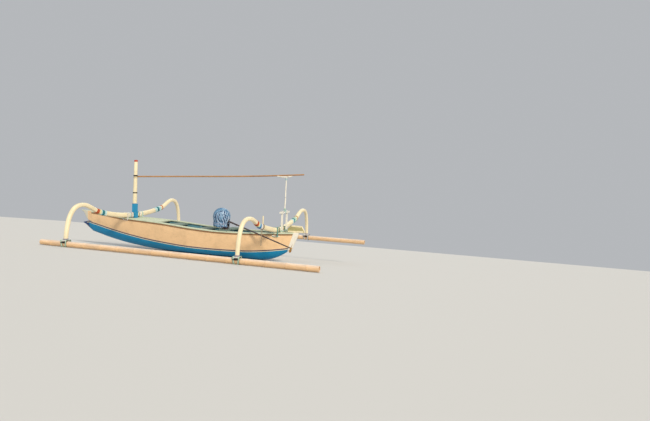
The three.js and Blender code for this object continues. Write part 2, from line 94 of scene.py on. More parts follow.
def make_camera():
    turn_z, turn_x, turn_y = CAMERA_TURNS
    turned = (Matrix.Rotation(turn_y, 3, "Y") @ Matrix.Rotation(turn_x, 3, "X")
              @ Matrix.Rotation(turn_z, 3, "Z"))
    axes = Matrix((-turned[0], turned[2], turned[1])).transposed()
    data = configure(bpy.data.cameras.new("camera"), lens=CAMERA_LENS, sensor_fit="HORIZONTAL",
                     sensor_width=SENSOR_WIDTH)
    camera = add_object("camera", data)
    turn = (Matrix.Rotation(HEEL, 3, "X") @ axes).to_4x4()
    camera.matrix_world = Matrix.Translation(boat_to_row @ Vector(CAMERA_PLACE)) @ turn
    bpy.context.scene.camera = camera


make_camera()

# Driving dimensions, as in the part's source
SEAT = 0.3
BOOM_SPACING = 3200
FLOAT_SPAN = 1875
FLOAT_RADIUS = 50
FLOAT_AFT = -1340
FLOAT_FORE = 3700
KEEL_DEPTH = 272
KEEL_FLAT = 20
BEAM_END = 1010
SIDES = (("port", 1), ("starboard", -1))


class Shader:
    """A material that takes its colour, roughness and bump from procedural nodes"""

    def __init__(self, name, roughness, metallic=0.0):
        self.material = bpy.data.materials.new(name)
        self.material.use_nodes = True
        self.tree = self.material.node_tree
        self.shader = self.tree.nodes["Principled BSDF"]
        self.feed(self.shader, {"Roughness": roughness, "Metallic": metallic})

    def feed(self, node, inputs):
        """Sets or links a node's inputs by name"""
        for name, value in inputs.items():
            socket = next(s for s in node.inputs if s.name == name and s.enabled)
            if isinstance(value, bpy.types.NodeSocket):
                self.tree.links.new(value, socket)
            else:
                socket.default_value = (*value, 1) if socket.type == "RGBA" else value

    def node(self, kind, output, inputs, **settings):
        """A new node's output"""
        node = configure(self.tree.nodes.new(f"ShaderNode{kind}"), **settings)
        self.feed(node, inputs)
        return next(s for s in node.outputs if s.name == output and s.enabled)

    def place(self, scale=(1, 1, 1)):
        vector = self.node("TexCoord", "Object", {})
        return self.node("Mapping", "Vector", {"Vector": vector, "Scale": scale})

    def noise(self, vector, scale, detail=4, roughness=0.55):
        return self.node("TexNoise", "Fac", {"Vector": vector, "Scale": scale, "Detail": detail,
                                             "Roughness": roughness})

    def ramp(self, factor, *stops):
        """Colours by position, where one number stands for a grey"""
        node = self.tree.nodes.new("ShaderNodeValToRGB")
        elements = node.color_ramp.elements
        while len(elements) < len(stops):
            elements.new(0.5)
        for element, (position, colour) in zip(elements, stops):
            element.position = position
            element.color = (*(colour if isinstance(colour, tuple) else (colour,) * 3), 1)
        self.feed(node, {"Fac": factor})
        return node.outputs["Color"]

    def mix(self, factor, first, second):
        return self.node("Mix", "Result", {"Factor": factor, "A": first, "B": second},
                         data_type="RGBA")

    def finished(self, colour, height, strength, distance, **inputs):
        """The material with its colour and bump linked"""
        normal = self.node("Bump", "Normal", {"Height": height, "Strength": strength,
                                              "Distance": distance})
        self.feed(self.shader, {"Base Color": colour, "Normal": normal, **inputs})
        return self.material


def shade(colour, share):
    return tuple(share * c for c in colour)


def painted(name, colour, under, wear, roughness, streak=(2, 14, 14)):
    """Brushed paint over wood: soft mottling, long brush streaks, and small worn spots"""
    paint = Shader(name, roughness)
    vector = paint.place()
    streaks = paint.noise(paint.place(streak), 9, 5)
    mottle = paint.noise(vector, 5)
    dark = shade(colour, 0.82)
    light = tuple(min(1, 1.06 * c + 0.01) for c in colour)
    base = paint.ramp(mottle, (0.3, dark), (0.5, colour), (0.72, light))
    brushed = paint.mix(0.35, base, paint.ramp(streaks, (0.35, dark), (0.65, light)))
    spots = paint.noise(vector, 38, 6, 0.7)
    worn = paint.ramp(spots, (0.66 - 0.06 * wear, 0), (0.74, 1))
    rough = paint.ramp(mottle, (0.2, roughness - 0.12), (0.8, roughness + 0.15))
    return paint.finished(paint.mix(worn, brushed, under), streaks, 0.35, 0.0015,
                          **{"Roughness": rough, "Specular IOR Level": 0.3})


def timber(name, colour, roughness=0.75, grain=(1.2, 26, 26)):
    """Bare boards with grain along the boat"""
    wood = Shader(name, roughness)
    fibres = wood.noise(wood.place(grain), 7, 7, 0.6)
    patches = wood.noise(wood.place(), 3, 3)
    dark = shade(colour, 0.45)
    light = tuple(min(1, 1.25 * c) for c in colour)
    base = wood.ramp(fibres, (0.3, dark), (0.5, colour), (0.7, light))
    final = wood.mix(wood.ramp(patches, (0.35, 0), (0.7, 0.5)), base, dark)
    return wood.finished(final, fibres, 0.5, 0.002)


def metal(name, colour, roughness=0.45, metallic=0.8):
    bare = Shader(name, roughness, metallic)
    vector = bare.place()
    cloud = bare.noise(vector, 12, 5, 0.65)
    rust = tuple(a * b for a, b in zip(colour, (1.2, 0.7, 0.5)))
    rough = bare.ramp(cloud, (0.3, roughness - 0.1), (0.8, roughness + 0.25))
    return bare.finished(bare.ramp(cloud, (0.4, colour), (0.7, rust)),
                         bare.noise(vector, 150, 3), 0.25, 0.0006, Roughness=rough)


def laid_cord(name, *colour):
    """Laid rope: fine slanting strands in colour and bump"""
    cord = Shader(name, 0.85)
    vector = cord.place()
    wave = cord.node("TexWave", "Fac", {"Vector": vector, "Scale": 90, "Distortion": 3},
                     wave_type="BANDS", bands_direction="DIAGONAL")
    dark = shade(colour, 0.6)
    strands = cord.ramp(wave, (0.2, dark), (0.6, colour))
    soil = cord.ramp(cord.noise(vector, 14), (0.45, 0), (0.7, 0.5))
    return cord.finished(cord.mix(soil, strands, dark), wave, 0.6, 0.001)


def bamboo_with_painted_top_light(name):
    """Bamboo painted paler where it faces the sky, as painted light on its top, with fine fibres
    along it
    """
    pole = Shader(name, 0.5)
    fibres = pole.noise(pole.place((0.8, 40, 40)), 7, 7, 0.6)
    patches = pole.noise(pole.place((0.6, 3, 3)), 5)
    below = pole.ramp(fibres, (0.3, (0.42, 0.25, 0.12)), (0.5, (0.74, 0.49, 0.27)),
                      (0.7, (0.86, 0.62, 0.37)))
    # A paler copy of the colours for the upper side: painted light
    above = pole.ramp(fibres, (0.3, (0.52, 0.38, 0.27)), (0.5, (0.80, 0.64, 0.50)),
                      (0.7, (0.90, 0.77, 0.64)))
    normal = pole.node("NewGeometry", "Normal", {})
    facing = pole.node("SeparateXYZ", "Z", {"Vector": normal})
    # Painted light: the paler copy on faces turned up, the darker one on the sides and below
    sides = pole.mix(pole.ramp(facing, (0.25, 0), (0.8, 1)), below, above)
    final = pole.mix(pole.ramp(patches, (0.5, 0), (0.75, 0.45)), sides, (0.45, 0.33, 0.24))
    return pole.finished(final, fibres, 0.5, 0.002)


def woven_sheet(name):
    """Woven plastic sheet: sky blue and glossy, navy in the folds as painted shade, pale on the
    ridges as painted highlight
    """
    sheet = Shader(name, 0.38)
    vector = sheet.place()
    fold = sheet.node("Attribute", "Fac", {}, attribute_name="hollow")
    face = sheet.ramp(sheet.noise(vector, 9, 3), (0.36, (0.04, 0.15, 0.30)),
                      (0.5, (0.10, 0.24, 0.40)), (0.64, (0.20, 0.33, 0.48)))
    # Painted highlight: pale on the ridges, where the sheet stands out
    pale = sheet.mix(sheet.ramp(fold, (0.22, 0.75), (0.45, 0)), face, (0.56, 0.62, 0.74))
    # Painted shade: navy in the folds, where the sheet lies deep
    final = sheet.mix(sheet.ramp(fold, (0.52, 0), (0.70, 1)), pale, (0.004, 0.02, 0.085))
    weave = sheet.node("TexVoronoi", "Distance", {"Vector": vector, "Scale": 420})
    return sheet.finished(final, weave, 0.15, 0.0005)


# Each maker's materials. A paint has its colour, what shows where it is worn, wear, roughness and
# the stretch of its brush strokes.
MATERIALS = {
    painted: {
        "blue paint": ((0.0, 0.21, 0.42), (0.02, 0.1, 0.16), 0.6, 0.42),
        "cream paint": ((0.85, 0.58, 0.33), (0.55, 0.34, 0.18), 0.3, 0.5),
        "green paint": ((0.54, 0.60, 0.45), (0.35, 0.33, 0.22), 0.7, 0.55),
        "pale paint": ((0.84, 0.74, 0.50), (0.5, 0.36, 0.24), 0.3, 0.42),
        "white paint": ((0.80, 0.77, 0.68), (0.4, 0.3, 0.2), 0.5, 0.5, (14, 14, 2)),
        "tarp": ((0.06, 0.2, 0.5), (0.1, 0.3, 0.6), 0.2, 0.5),
        "dark line": ((0.10, 0.075, 0.11), (0.3, 0.2, 0.12), 0.3, 0.5),
        "pale line": ((0.78, 0.74, 0.5), (0.4, 0.3, 0.2), 0.4, 0.5),
        "brown paint": ((0.27, 0.14, 0.06), (0.5, 0.36, 0.2), 0.4, 0.5),
        "inside paint": ((0.12, 0.30, 0.36), (0.3, 0.26, 0.2), 0.7, 0.6),
        "thwart paint": ((0.16, 0.225, 0.195), (0.34, 0.27, 0.19), 0.8, 0.7),
        # Painted shade: olive for the stern board's recess and its shadow line
        "olive paint": ((0.42, 0.38, 0.18), (0.3, 0.26, 0.1), 0.5, 0.6),
        "red paint": ((0.45, 0.05, 0.02), (0.5, 0.3, 0.2), 0.3, 0.55),
        # Painted shade: navy for the jaw's front, over the blue paint
        "navy paint": ((0.012, 0.045, 0.16), (0.1, 0.1, 0.2), 0.4, 0.45),
        "box blue": ((0.02, 0.27, 0.50), (0.2, 0.3, 0.35), 0.5, 0.4, (14, 14, 2)),
        # Painted shade: a greyer cream for the beak's front
        "grey beak": ((0.66, 0.62, 0.50), (0.5, 0.4, 0.3), 0.5, 0.5)},
    timber: {
        "bare wood": ((0.36, 0.24, 0.14),),
        "bamboo": ((0.76, 0.52, 0.29), 0.45, (0.8, 40, 40)),
        "spar bamboo": ((0.52, 0.27, 0.11), 0.5, (0.8, 40, 40)),
        "rope": ((0.5, 0.42, 0.28), 0.9, (30, 30, 30))},
    metal: {
        "steel": ((0.11, 0.10, 0.11),),
        "cast metal": ((0.36, 0.36, 0.37), 0.5),
        "bronze": ((0.46, 0.31, 0.12), 0.35, 1.0)},
    laid_cord: {
        "orange cord": (0.55, 0.10, 0.03), "cream cord": (0.85, 0.75, 0.40),
        "aqua cord": (0.55, 0.80, 0.82), "teal cord": (0.03, 0.24, 0.30),
        "blue cord": (0.05, 0.25, 0.50), "mint cord": (0.52, 0.74, 0.60),
        "black cord": (0.015, 0.016, 0.02), "white cord": (0.80, 0.80, 0.78),
        "violet cord": (0.42, 0.38, 0.50), "sea cord": (0.10, 0.36, 0.34),
        "tan cord": (0.62, 0.48, 0.28), "hemp cord": (0.40, 0.31, 0.21)},
    bamboo_with_painted_top_light: {"float bamboo": ()},
    woven_sheet: {"tarp sheet": ()},
}
materials = {name: maker(name, *values) for maker, table in MATERIALS.items()
             for name, values in table.items()}


def material_of(name):
    return materials[name.replace("_", " ")]


for row in frame["record"]["subparts"]:
    own = frame["nodes"][row["node"]].data.materials
    own.clear()
    own.append(material_of(row["material_slot"]))


# Shapes: vertices in the boat's frame in millimetres, and faces by index

X_AXIS, Y_AXIS, Z_AXIS = Matrix.Identity(3)


def mix(a, b, share):
    return a + (b - a) * share


def clamp(value, low=0.0, high=1.0):
    return max(low, min(high, value))


def shares(count):
    return [i / count for i in range(count + 1)]


def angles(count, shift=0):
    return [2 * pi * (i + shift) / count for i in range(count)]


def smoothed(rows, times=1, closed=False):
    """Rows of numbers with a new row between each two, on a smooth curve through them all"""
    for _ in range(times):
        if closed:
            padded = [rows[-1], *rows, *rows[:2]]
        else:
            before, after = ([2 * a - b for a, b in zip(*pair)]
                             for pair in (rows[:2], (rows[-1], rows[-2])))
            padded = [before, *rows, after]
        finer = []
        for before, here, after, beyond in zip(padded, padded[1:], padded[2:], padded[3:]):
            finer.append(here)
            finer.append([(9 * (b + c) - a - d) / 16
                          for a, b, c, d in zip(before, here, after, beyond)])
        rows = finer if closed else [*finer, rows[-1]]
    return rows


def loft(rings, closed=False):
    """Faces through rings of equal point count, back to the first ring or with closed ends"""
    count = len(rings[0])
    last = len(rings) - 1
    faces = []
    for r in range(len(rings) if closed else last):
        here, after = r * count, (r + 1) % len(rings) * count
        for i in range(count):
            j = (i + 1) % count
            faces.append((here + i, here + j, after + j, after + i))
    if not closed:
        faces.append(tuple(range(count))[::-1])
        faces.append(tuple(range(last * count, (last + 1) * count)))
    return [point for ring in rings for point in ring], faces


def joined(shapes):
    vertices, faces = [], []
    for some_vertices, some_faces in shapes:
        faces += [tuple(i + len(vertices) for i in face) for face in some_faces]
        vertices += some_vertices
    return vertices, faces


def piece(name, shape, slot, node=None, paint=None, body="boat", place=None, sharp=35):
    """A mesh object from a shape, riding on a body and standing for the CAD node it names"""
    vertices, faces = shape
    matrix = boat_to_row @ place if place else boat_to_row
    mesh = bpy.data.meshes.new(name)
    mesh.from_pydata([matrix @ Vector(v) for v in vertices], [], faces)
    shell = bmesh.new()
    shell.from_mesh(mesh)
    bmesh.ops.recalc_face_normals(shell, faces=shell.faces)
    shell.to_mesh(mesh)
    shell.free()
    mesh.polygons.foreach_set("use_smooth", [True] * len(mesh.polygons))
    mesh.set_sharp_from_angle(angle=radians(sharp))
    mesh.materials.append(material_of(paint or slot))
    thing = add_object(name, mesh)
    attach(thing, body)
    if node:
        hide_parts(node)
    return thing


def roped(name, shape, colour, **more):
    return piece(name, shape, "rope", paint=f"{colour} cord", **more)


def paint_faces(thing, paint, chosen):
    """Gives another paint to the faces whose boat-frame centre the test accepts"""
    thing.data.materials.append(material_of(paint))
    for polygon in thing.data.polygons:
        if chosen(row_to_boat @ polygon.center):
            polygon.material_index = len(thing.data.materials) - 1


def paint_strips(thing, rings, paint, strips):
    """Gives another paint to some of the strips that run along a lofted piece"""
    thing.data.materials.append(material_of(paint))
    count = len(rings[0])
    for index in range((len(rings) - 1) * count):
        if index % count in strips:
            thing.data.polygons[index].material_index = len(thing.data.materials) - 1


def circle(centre, across, up, radius, sides):
    return [centre + radius * (cos(a) * across + sin(a) * up) for a in angles(sides, 0.5)]


def tube(path, radius, sides=12, closed=False):
    """A round bar along a path, turning as little as can be. Radius is one number or one for
    each point."""
    points = [Vector(p) for p in path]
    count = len(points)
    radii = radius if isinstance(radius, (list, tuple)) else [radius] * count
    rings = []
    up = None
    for i, point in enumerate(points):
        before, after = i - 1, (i + 1) % count
        if not closed:
            before, after = max(before, 0), min(i + 1, count - 1)
        along = (points[after] - points[before]).normalized()
        if up is None:
            up = along.orthogonal().normalized()
        up = (up - along * up.dot(along)).normalized()
        rings.append(circle(point, up.cross(along), up, radii[i], sides))
    return loft(rings, closed)


def loop_of_cord(path, cord, sides=6, times=0):
    return tube(smoothed(path, times, True), cord / 2, sides, closed=True)


# Hull lines from stern to bow, in columns: station, height of the sheer, half width at the sheer,
# height of the painted line, half width there, height of the keel
HULL_TABLE = [
    (-222, 309, 84, 10, 60, -70),
    (-60, 300, 158, -16, 126, -184),
    (200, 285, 230, -50, 186, -258),
    (600, 266, 290, -86, 236, -272),
    (1200, 257, 322, -102, 264, -272),
    (1800, 285, 324, -96, 264, -272),
    (2300, 322, 308, -64, 250, -264),
    (2800, 342, 278, -18, 222, -232),
    (3300, 358, 228, 48, 178, -176),
    (3700, 396, 168, 112, 130, -104),
    (3950, 411, 120, 156, 92, -46),
    (4150, 419, 78, 186, 58, 2),
]
PLANK_THICKNESS = 24
PLANK_BULGE = 8
DUGOUT_THICKNESS = 30
KEEL_THICKNESS = 42
CAP_HEIGHT = 26
CAP_OVERHANG = 10
CAP_INSET = 48
CAP_INSET_SHARE = 0.55
STERN_RAKE = 0.316
STERN_RAKE_REACH = 600
RAIL_SECTION = ((-4, -52), (5, -50), (7, -40), (5, -31), (-4, -29))

# Two painted lines run round the top of the blue bottom, in millimetres below the planks
DARK_LINE = (1, 24)
PALE_LINE = (24, 34)
bottom_shares = [sin(pi / 2 * share) for share in shares(12)[1:]]


class Station:
    def __init__(self, row):
        self.row = row
        self.x, self.sheer, self.half, self.line, self.line_half, keel = row
        self.keel = max(keel, -KEEL_DEPTH)
        self.cap_inner = self.half - min(CAP_INSET, self.half * CAP_INSET_SHARE)

    def plank(self, share):
        """Half width over the bulging planks, from the painted line up to the sheer"""
        return mix(self.line_half, self.half, share) + PLANK_BULGE * sin(pi * share)


stations = [Station(row) for row in smoothed(HULL_TABLE, 3)]


def station_at(x):
    index = next((i for i, s in enumerate(stations) if s.x > x), len(stations) - 1)
    a, b = stations[max(0, index - 1)], stations[max(1, index)]
    share = clamp((x - a.x) / (b.x - a.x))
    return Station([mix(p, q, share) for p, q in zip(a.row, b.row)])


def raked(x, z):
    """The stern leans back with height, less and less further forward"""
    return x - z * STERN_RAKE * clamp(1 - (x - stations[0].x) / STERN_RAKE_REACH)


def raked_ring(s, section, sign=1, base=0):
    return [(raked(s.x, base + z), sign * y, base + z) for y, z in section]


def sheer_at(x):
    station = x
    for _ in range(8):
        station += x - raked(station, station_at(station).sheer)
    return station_at(station)


def bottom_outline(s, inset, rise):
    """The bottom's curve down to the keel, with points at the edges of the painted lines"""
    keel = s.keel + rise
    half = s.line_half - inset - KEEL_FLAT
    bands = [0, *(min(0.5, mm / (s.line - keel)) for mm in (*DARK_LINE, PALE_LINE[1]))]
    below = [share for share in bottom_shares if share > bands[-1] + 0.02]
    missing = len(bottom_shares) - len(below)
    extra = [mix(bands[-1], below[0], (i + 1) / (missing + 1)) for i in range(missing)]
    return [(KEEL_FLAT + half * sqrt(max(0, 1 - share ** 2)), mix(s.line, keel, share))
            for share in (*bands, *extra, *below)]


def both_sides(points):
    return [*points, *[(-y, z) for y, z in reversed(points)]]


def make_bottom():
    rings = []
    for s in stations:
        thick = min(DUGOUT_THICKNESS, s.line_half * 0.5)
        outer = both_sides(bottom_outline(s, 0, 0))
        inner = both_sides(bottom_outline(s, thick, KEEL_THICKNESS))[::-1]
        rings.append(raked_ring(s, (*outer, *inner)))
    hull = piece("hull_bottom", loft(rings), "blue_paint", "hull_dugout", sharp=50)
    outside = len(rings[0]) // 2
    for paint, strips in (("dark line", (1, outside - 3)), ("pale line", (2, outside - 4)),
                          ("inside paint", range(outside, 2 * outside))):
        paint_strips(hull, rings, paint, strips)


def cap_section(s, soft=5):
    out, inn = s.half + CAP_OVERHANG, s.cap_inner
    low = -CAP_HEIGHT
    return ((out - soft, low), (out, low + soft), (out, -soft), (out - soft / 2, -1),
            (out - soft, 0), (inn + soft, 0), (inn, -soft), (inn, low + soft),
            (inn + soft, low))


def make_planks():
    for side, sign in SIDES:
        rings, rail, cap = [], [], []
        for s in stations:
            low, high = s.line + SEAT, s.sheer - CAP_HEIGHT - SEAT
            outer = [(s.plank(share), mix(low, high, share)) for share in shares(8)]
            inner = [(y - PLANK_THICKNESS, z) for y, z in outer][::-1]
            rings.append(raked_ring(s, (*outer, *inner), sign))
            rail.append(raked_ring(s, [(s.half + y, z) for y, z in RAIL_SECTION], sign, s.sheer))
            cap.append(raked_ring(s, cap_section(s), sign, s.sheer))
        planks = piece(f"planks_{side}", loft(rings), "cream_paint", f"side_plank_{side}",
                       sharp=50)
        paint_strips(planks, rings, "inside paint", range(len(rings[0]) // 2, len(rings[0])))
        piece(f"rub_rail_{side}", loft(rail), "bare_wood", paint="brown paint")
        piece(f"gunwale_cap_{side}", loft(cap), "green_paint", f"gunwale_{side}")


make_bottom()
make_planks()


# Booms: a beam across the gunwales and one curved arm down to each float. An arm's table gives
# y, z and thickness along its middle. Bands cover the joints of beam and arm, by how far out
# they lie.
BOOMS = {
    "front": {
        "x": BOOM_SPACING, "width": 80, "depth": 100, "end_depth": 92, "end_height": 505,
        "bend": 2, "drift": 50, "foot": 66,
        "arm": [(1100, 532, 82), (1200, 574, 80), (1300, 618, 78), (1390, 650, 77),
                (1480, 662, 76), (1565, 656, 76), (1645, 630, 75), (1716, 580, 74),
                (1777, 498, 73), (1824, 388, 72), (1856, 240, 70), (1870, 130, 68)],
        "port": ((878, 930, "aqua"), (930, 1000, "teal"), (1000, 1030, "aqua"),
                 (1030, 1076, "cream"), (1076, 1146, "orange")),
        "starboard": ((740, 822, "aqua"), (822, 884, "teal"), (884, 965, "aqua"),
                      (1004, 1036, "orange"))},
    "rear": {
        "x": 0, "width": 74, "depth": 90, "end_depth": 86, "end_height": 487,
        "bend": 1.3, "drift": 0, "foot": 64,
        "arm": [(1110, 528, 78), (1212, 575, 74), (1312, 613, 70), (1400, 634, 68),
                (1482, 641, 67), (1562, 637, 66), (1640, 617, 66), (1710, 579, 66),
                (1766, 519, 66), (1812, 428, 66), (1844, 318, 66), (1866, 190, 65),
                (1873, 115, 64)],
        "port": ((926, 998, "white"), (998, 1056, "blue"), (1056, 1080, "aqua"),
                 (1080, 1116, "cream"), (1116, 1178, "orange")),
        "starboard": ((740, 806, "aqua"), (806, 862, "teal"), (862, 965, "mint"),
                      (1004, 1060, "tan"))},
}
CORNERS = [(name, boom, side, sign) for name, boom in BOOMS.items() for side, sign in SIDES]
BAR_SQUARENESS = 0.72
BAND_CORD = 6


def squared(value, power=BAR_SQUARENESS):
    return copysign(abs(value) ** power, value)


bar_section = [(squared(cos(a)), squared(sin(a))) for a in angles(24, 0.5)]


def boom_height(boom, y):
    x, width = boom["x"], boom["width"]
    top = max(sheer_at(x - width / 2).sheer, sheer_at(x + width / 2).sheer)
    contact = sheer_at(x).half - CAP_INSET
    level = top + SEAT + boom["depth"] / 2
    bend = boom["bend"]
    rise = (boom["end_height"] - level) / (BEAM_END ** bend - contact ** bend)
    return level + rise * max(0, abs(y) ** bend - contact ** bend)


def bar_rings(path, start_slope=None):
    """Rings of a bar that runs across the boat, through rows of x, y, z, depth and breadth"""
    rings = []
    for i, (x, y, z, depth, breadth) in enumerate(path):
        before, after = path[max(0, i - 1)], path[min(len(path) - 1, i + 1)]
        along = Vector((0, after[1] - before[1], after[2] - before[2])).normalized()
        if i == 0 and start_slope:
            along = start_slope
        up = Vector((0, -along.z, along.y))
        rings.append([Vector((x + a * breadth / 2, y, z)) + up * (b * depth / 2)
                      for a, b in bar_section])
    return rings


def beam_path(boom):
    return [(boom["x"], y, boom_height(boom, y),
             mix(boom["depth"], boom["end_depth"], abs(y / BEAM_END)), boom["width"])
            for y in (mix(-BEAM_END, BEAM_END, share) for share in shares(48))]


def arm_path(boom, sign):
    inner, end = beam_path(boom)[-2:]
    slope = Vector((0, end[1] - inner[1], end[2] - inner[2])).normalized()
    outwards = [*boom["arm"], (FLOAT_SPAN, FLOAT_RADIUS + SEAT, boom["foot"])]
    drift = boom["drift"] if sign < 0 else 0
    rows = [(boom["x"], end[1] + slope.y * SEAT, end[2] + slope.z * SEAT, boom["end_depth"],
             boom["width"])]
    rows += [(boom["x"] + drift * (y - BEAM_END) / (FLOAT_SPAN - BEAM_END), y, z, thick,
              min(thick, boom["width"])) for y, z, thick in outwards]
    slope.y *= sign
    return [(x, sign * y, *rest) for x, y, *rest in smoothed(rows, 3)], slope


def helix(turns, steps):
    """Share of the way and angle at each step of a winding"""
    return [(share, 2 * pi * turns * share) for share in shares(turns * steps)]


def wound(path, start, end, cord, pitch=None, steps=28, axis=1):
    """A cord wound on a bar's own section, from one y to another, or by z where axis is 2"""
    rows = sorted(path, key=lambda row: row[axis])
    low, high = min(start, end), max(start, end)
    turns = max(1, round((high - low) / (pitch or cord * 1.05)))
    reach = cord / 2 - 0.4
    points = []
    for share, angle in helix(turns, steps):
        level = mix(low + cord / 2, high - cord / 2, share)
        i = next((n for n in range(1, len(rows)) if rows[n][axis] >= level), len(rows) - 1)
        a, b = rows[i - 1], rows[i]
        part = (level - a[axis]) / (b[axis] - a[axis])
        x, y, z, depth, breadth = (mix(p, q, part) for p, q in zip(a, b))
        up = Vector((0, a[2] - b[2], b[1] - a[1])).normalized() if axis == 1 else Y_AXIS
        points.append(Vector((x + squared(cos(angle)) * (breadth / 2 + reach), y, z))
                      + up * squared(sin(angle)) * (depth / 2 + reach))
    return tube(points, cord / 2, 6)


for name, boom in BOOMS.items():
    piece(f"{name}_beam", loft(bar_rings(beam_path(boom))), "pale_paint", f"{name}_boom")
for name, boom, side, sign in CORNERS:
    path, slope = arm_path(boom, sign)
    piece(f"{name}_arm_bar_{side}", loft(bar_rings(path, slope)), "pale_paint",
          f"{name}_arm_{side}")
    for low, high, colour in boom[side]:
        roped(f"{name}_{side}_band_{low}",
              wound([*beam_path(boom), *path[1:]], sign * low, sign * high, BAND_CORD), colour)


# Bamboo floats and spar: a round pole with a ridge and a groove at each node, by how far along
# they lie from it and their rise as a share of the ridge
NODE_PROFILE = ((-26, 0), (-10, 0.35), (-5, 0.9), (-2, -0.3), (1, -0.2), (5, 1), (11, 0.3),
                (30, 0))
HOLLOW_DEPTH = 120


def bamboo_pole(start, end, radii, spacing, first, ridge, sides=32, hollow=0.0):
    start, end = Vector(start), Vector(end)
    length = (end - start).length
    along = (end - start).normalized()
    across = along.cross(Z_AXIS).normalized()
    up = across.cross(along)
    profile = [(0, 0)]
    node = first
    while node < length - 40:
        profile += [(node + offset, rise * ridge) for offset, rise in NODE_PROFILE]
        profile.append((node + spacing / 2, -0.4 * ridge))
        node += spacing
    profile = [*(row for row in profile if row[0] < length - 1), (length, 0)]
    rings = [circle(start + along * place, across, up, mix(*radii, place / length) + rise, sides)
             for place, rise in profile]
    if hollow:
        rings = [circle(start + along * depth, across, up, radii[0] * hollow, sides)
                 for depth in (HOLLOW_DEPTH, 0)] + rings
    return loft(rings)


for side, sign in SIDES:
    y = sign * FLOAT_SPAN
    pole = bamboo_pole((FLOAT_AFT, y, 0), (FLOAT_FORE, y, 0), (FLOAT_RADIUS - 1, FLOAT_RADIUS - 3),
                       330, 190, 3, hollow=0.8)
    piece(f"bamboo_float_{side}", pole, "bamboo", f"float_{side}", "float bamboo")


# Foot lashings: a peg on each side of the leg's foot, loops of cord round float and pegs, dark
# cords beside them, and a dark frapping across the loops
ROUND_FLOAT = FLOAT_RADIUS + 3
PEG_RADIUS = 9
PEG_HEIGHT = 61
PEG_OUT = 43
LOOP_CORD = 7

# A peg along the boat, in columns: place and radius
PEG_TABLE = ((-50, 6), (-47, 8), (-25, 9), (0, 9), (25, 9), (47, 8), (50, 6))


def taut_line(points):
    """The shortest closed line round flat points, with a place at least every 12 mm or so"""
    hull = [points[i] for i in convex_hull_2d([Vector(p) for p in points])]
    line = []
    for a, b in zip(hull, hull[1:] + hull[:1]):
        parts = max(1, round(dist(a, b) / 12))
        line += [(mix(a[0], b[0], k / parts), mix(a[1], b[1], k / parts)) for k in range(parts)]
    return line


def foot_loop(x, y, lean, cord):
    """A loop over the pegs and round the float, leaning along the boat as it goes down"""
    outline = [(centre + (radius + cord / 2) * cos(a), height + (radius + cord / 2) * sin(a))
               for centre, height, radius in ((0, 0, ROUND_FLOAT),
                                              (PEG_OUT, PEG_HEIGHT, PEG_RADIUS),
                                              (-PEG_OUT, PEG_HEIGHT, PEG_RADIUS))
               for a in angles(60)]
    line = taut_line(outline)
    start = line.index(min(line))
    return loop_of_cord([
        (x + lean * clamp((PEG_HEIGHT - z) / (PEG_HEIGHT + FLOAT_RADIUS)), y + out, z)
        for out, z in line[start:] + line[:start]], cord)


def frapping(centre_x, centre_y, side, fore=42, aft=-33, low=27, cord=6):
    """Turns of cord across the loops on one side of the float, drawing them together"""
    loops = []
    for k in range(3):
        z = low + k * cord * 1.04
        face = sqrt(max(1, (ROUND_FLOAT + LOOP_CORD) ** 2 - min(z, 55) ** 2))
        outer, inner = face + 9 + cord / 2, face - 3
        row = ((fore + 8, outer - 5), (fore, outer), (mix(fore, aft, 0.5), outer + 1),
               (aft, outer), (aft - 8, outer - 5), (aft - 7, inner + 3), (aft + 4, inner),
               (fore - 4, inner), (fore + 7, inner + 3))
        loops.append(loop_of_cord([(centre_x + x, centre_y + side * y, z) for x, y in row],
                                  cord, times=1))
    return joined(loops)


for name, boom, side, sign in CORNERS:
    label = f"{name}_{side}"
    x = boom["x"] + (boom["drift"] if sign < 0 else 0)
    y = sign * FLOAT_SPAN
    for where in (1, -1):
        end = "out" if where == sign else "in"
        path = [(x + along, y + where * PEG_OUT, PEG_HEIGHT) for along, _ in PEG_TABLE]
        piece(f"{label}_foot_peg_{end}", tube(path, [r for _, r in PEG_TABLE], 14),
              "white_paint", paint="white cord")
        roped(f"{label}_frapping_{end}", frapping(x, y, where), "black")
    roped(f"{label}_foot_loops",
          joined(foot_loop(x + start + turn * LOOP_CORD * 1.03, y, lean, LOOP_CORD)
                 for start, lean in ((40, -14), (-55, 10)) for turn in range(3)),
          "mint" if sign > 0 else "white")
    roped(f"{label}_foot_dark",
          joined(foot_loop(x + start, y, lean, 5) for start, lean in ((61, -16), (-61, 11))),
          "black")
    roped(f"{label}_leg_turns",
          wound(arm_path(boom, sign)[0], 73, 101, 6, pitch=9, steps=24, axis=2), "violet")


# Lashings of the booms to the hull: cords over the beam and down through the planks
TOGGLE_RADIUS = 9
TOGGLE_BELOW = 61


def plank_face(x, z):
    """How far out the planks' face lies at a place on the hull's side"""
    s = station_at(x)
    return mix(s.line_half, s.half, (z - s.line) / (s.sheer - s.line)) + PLANK_BULGE


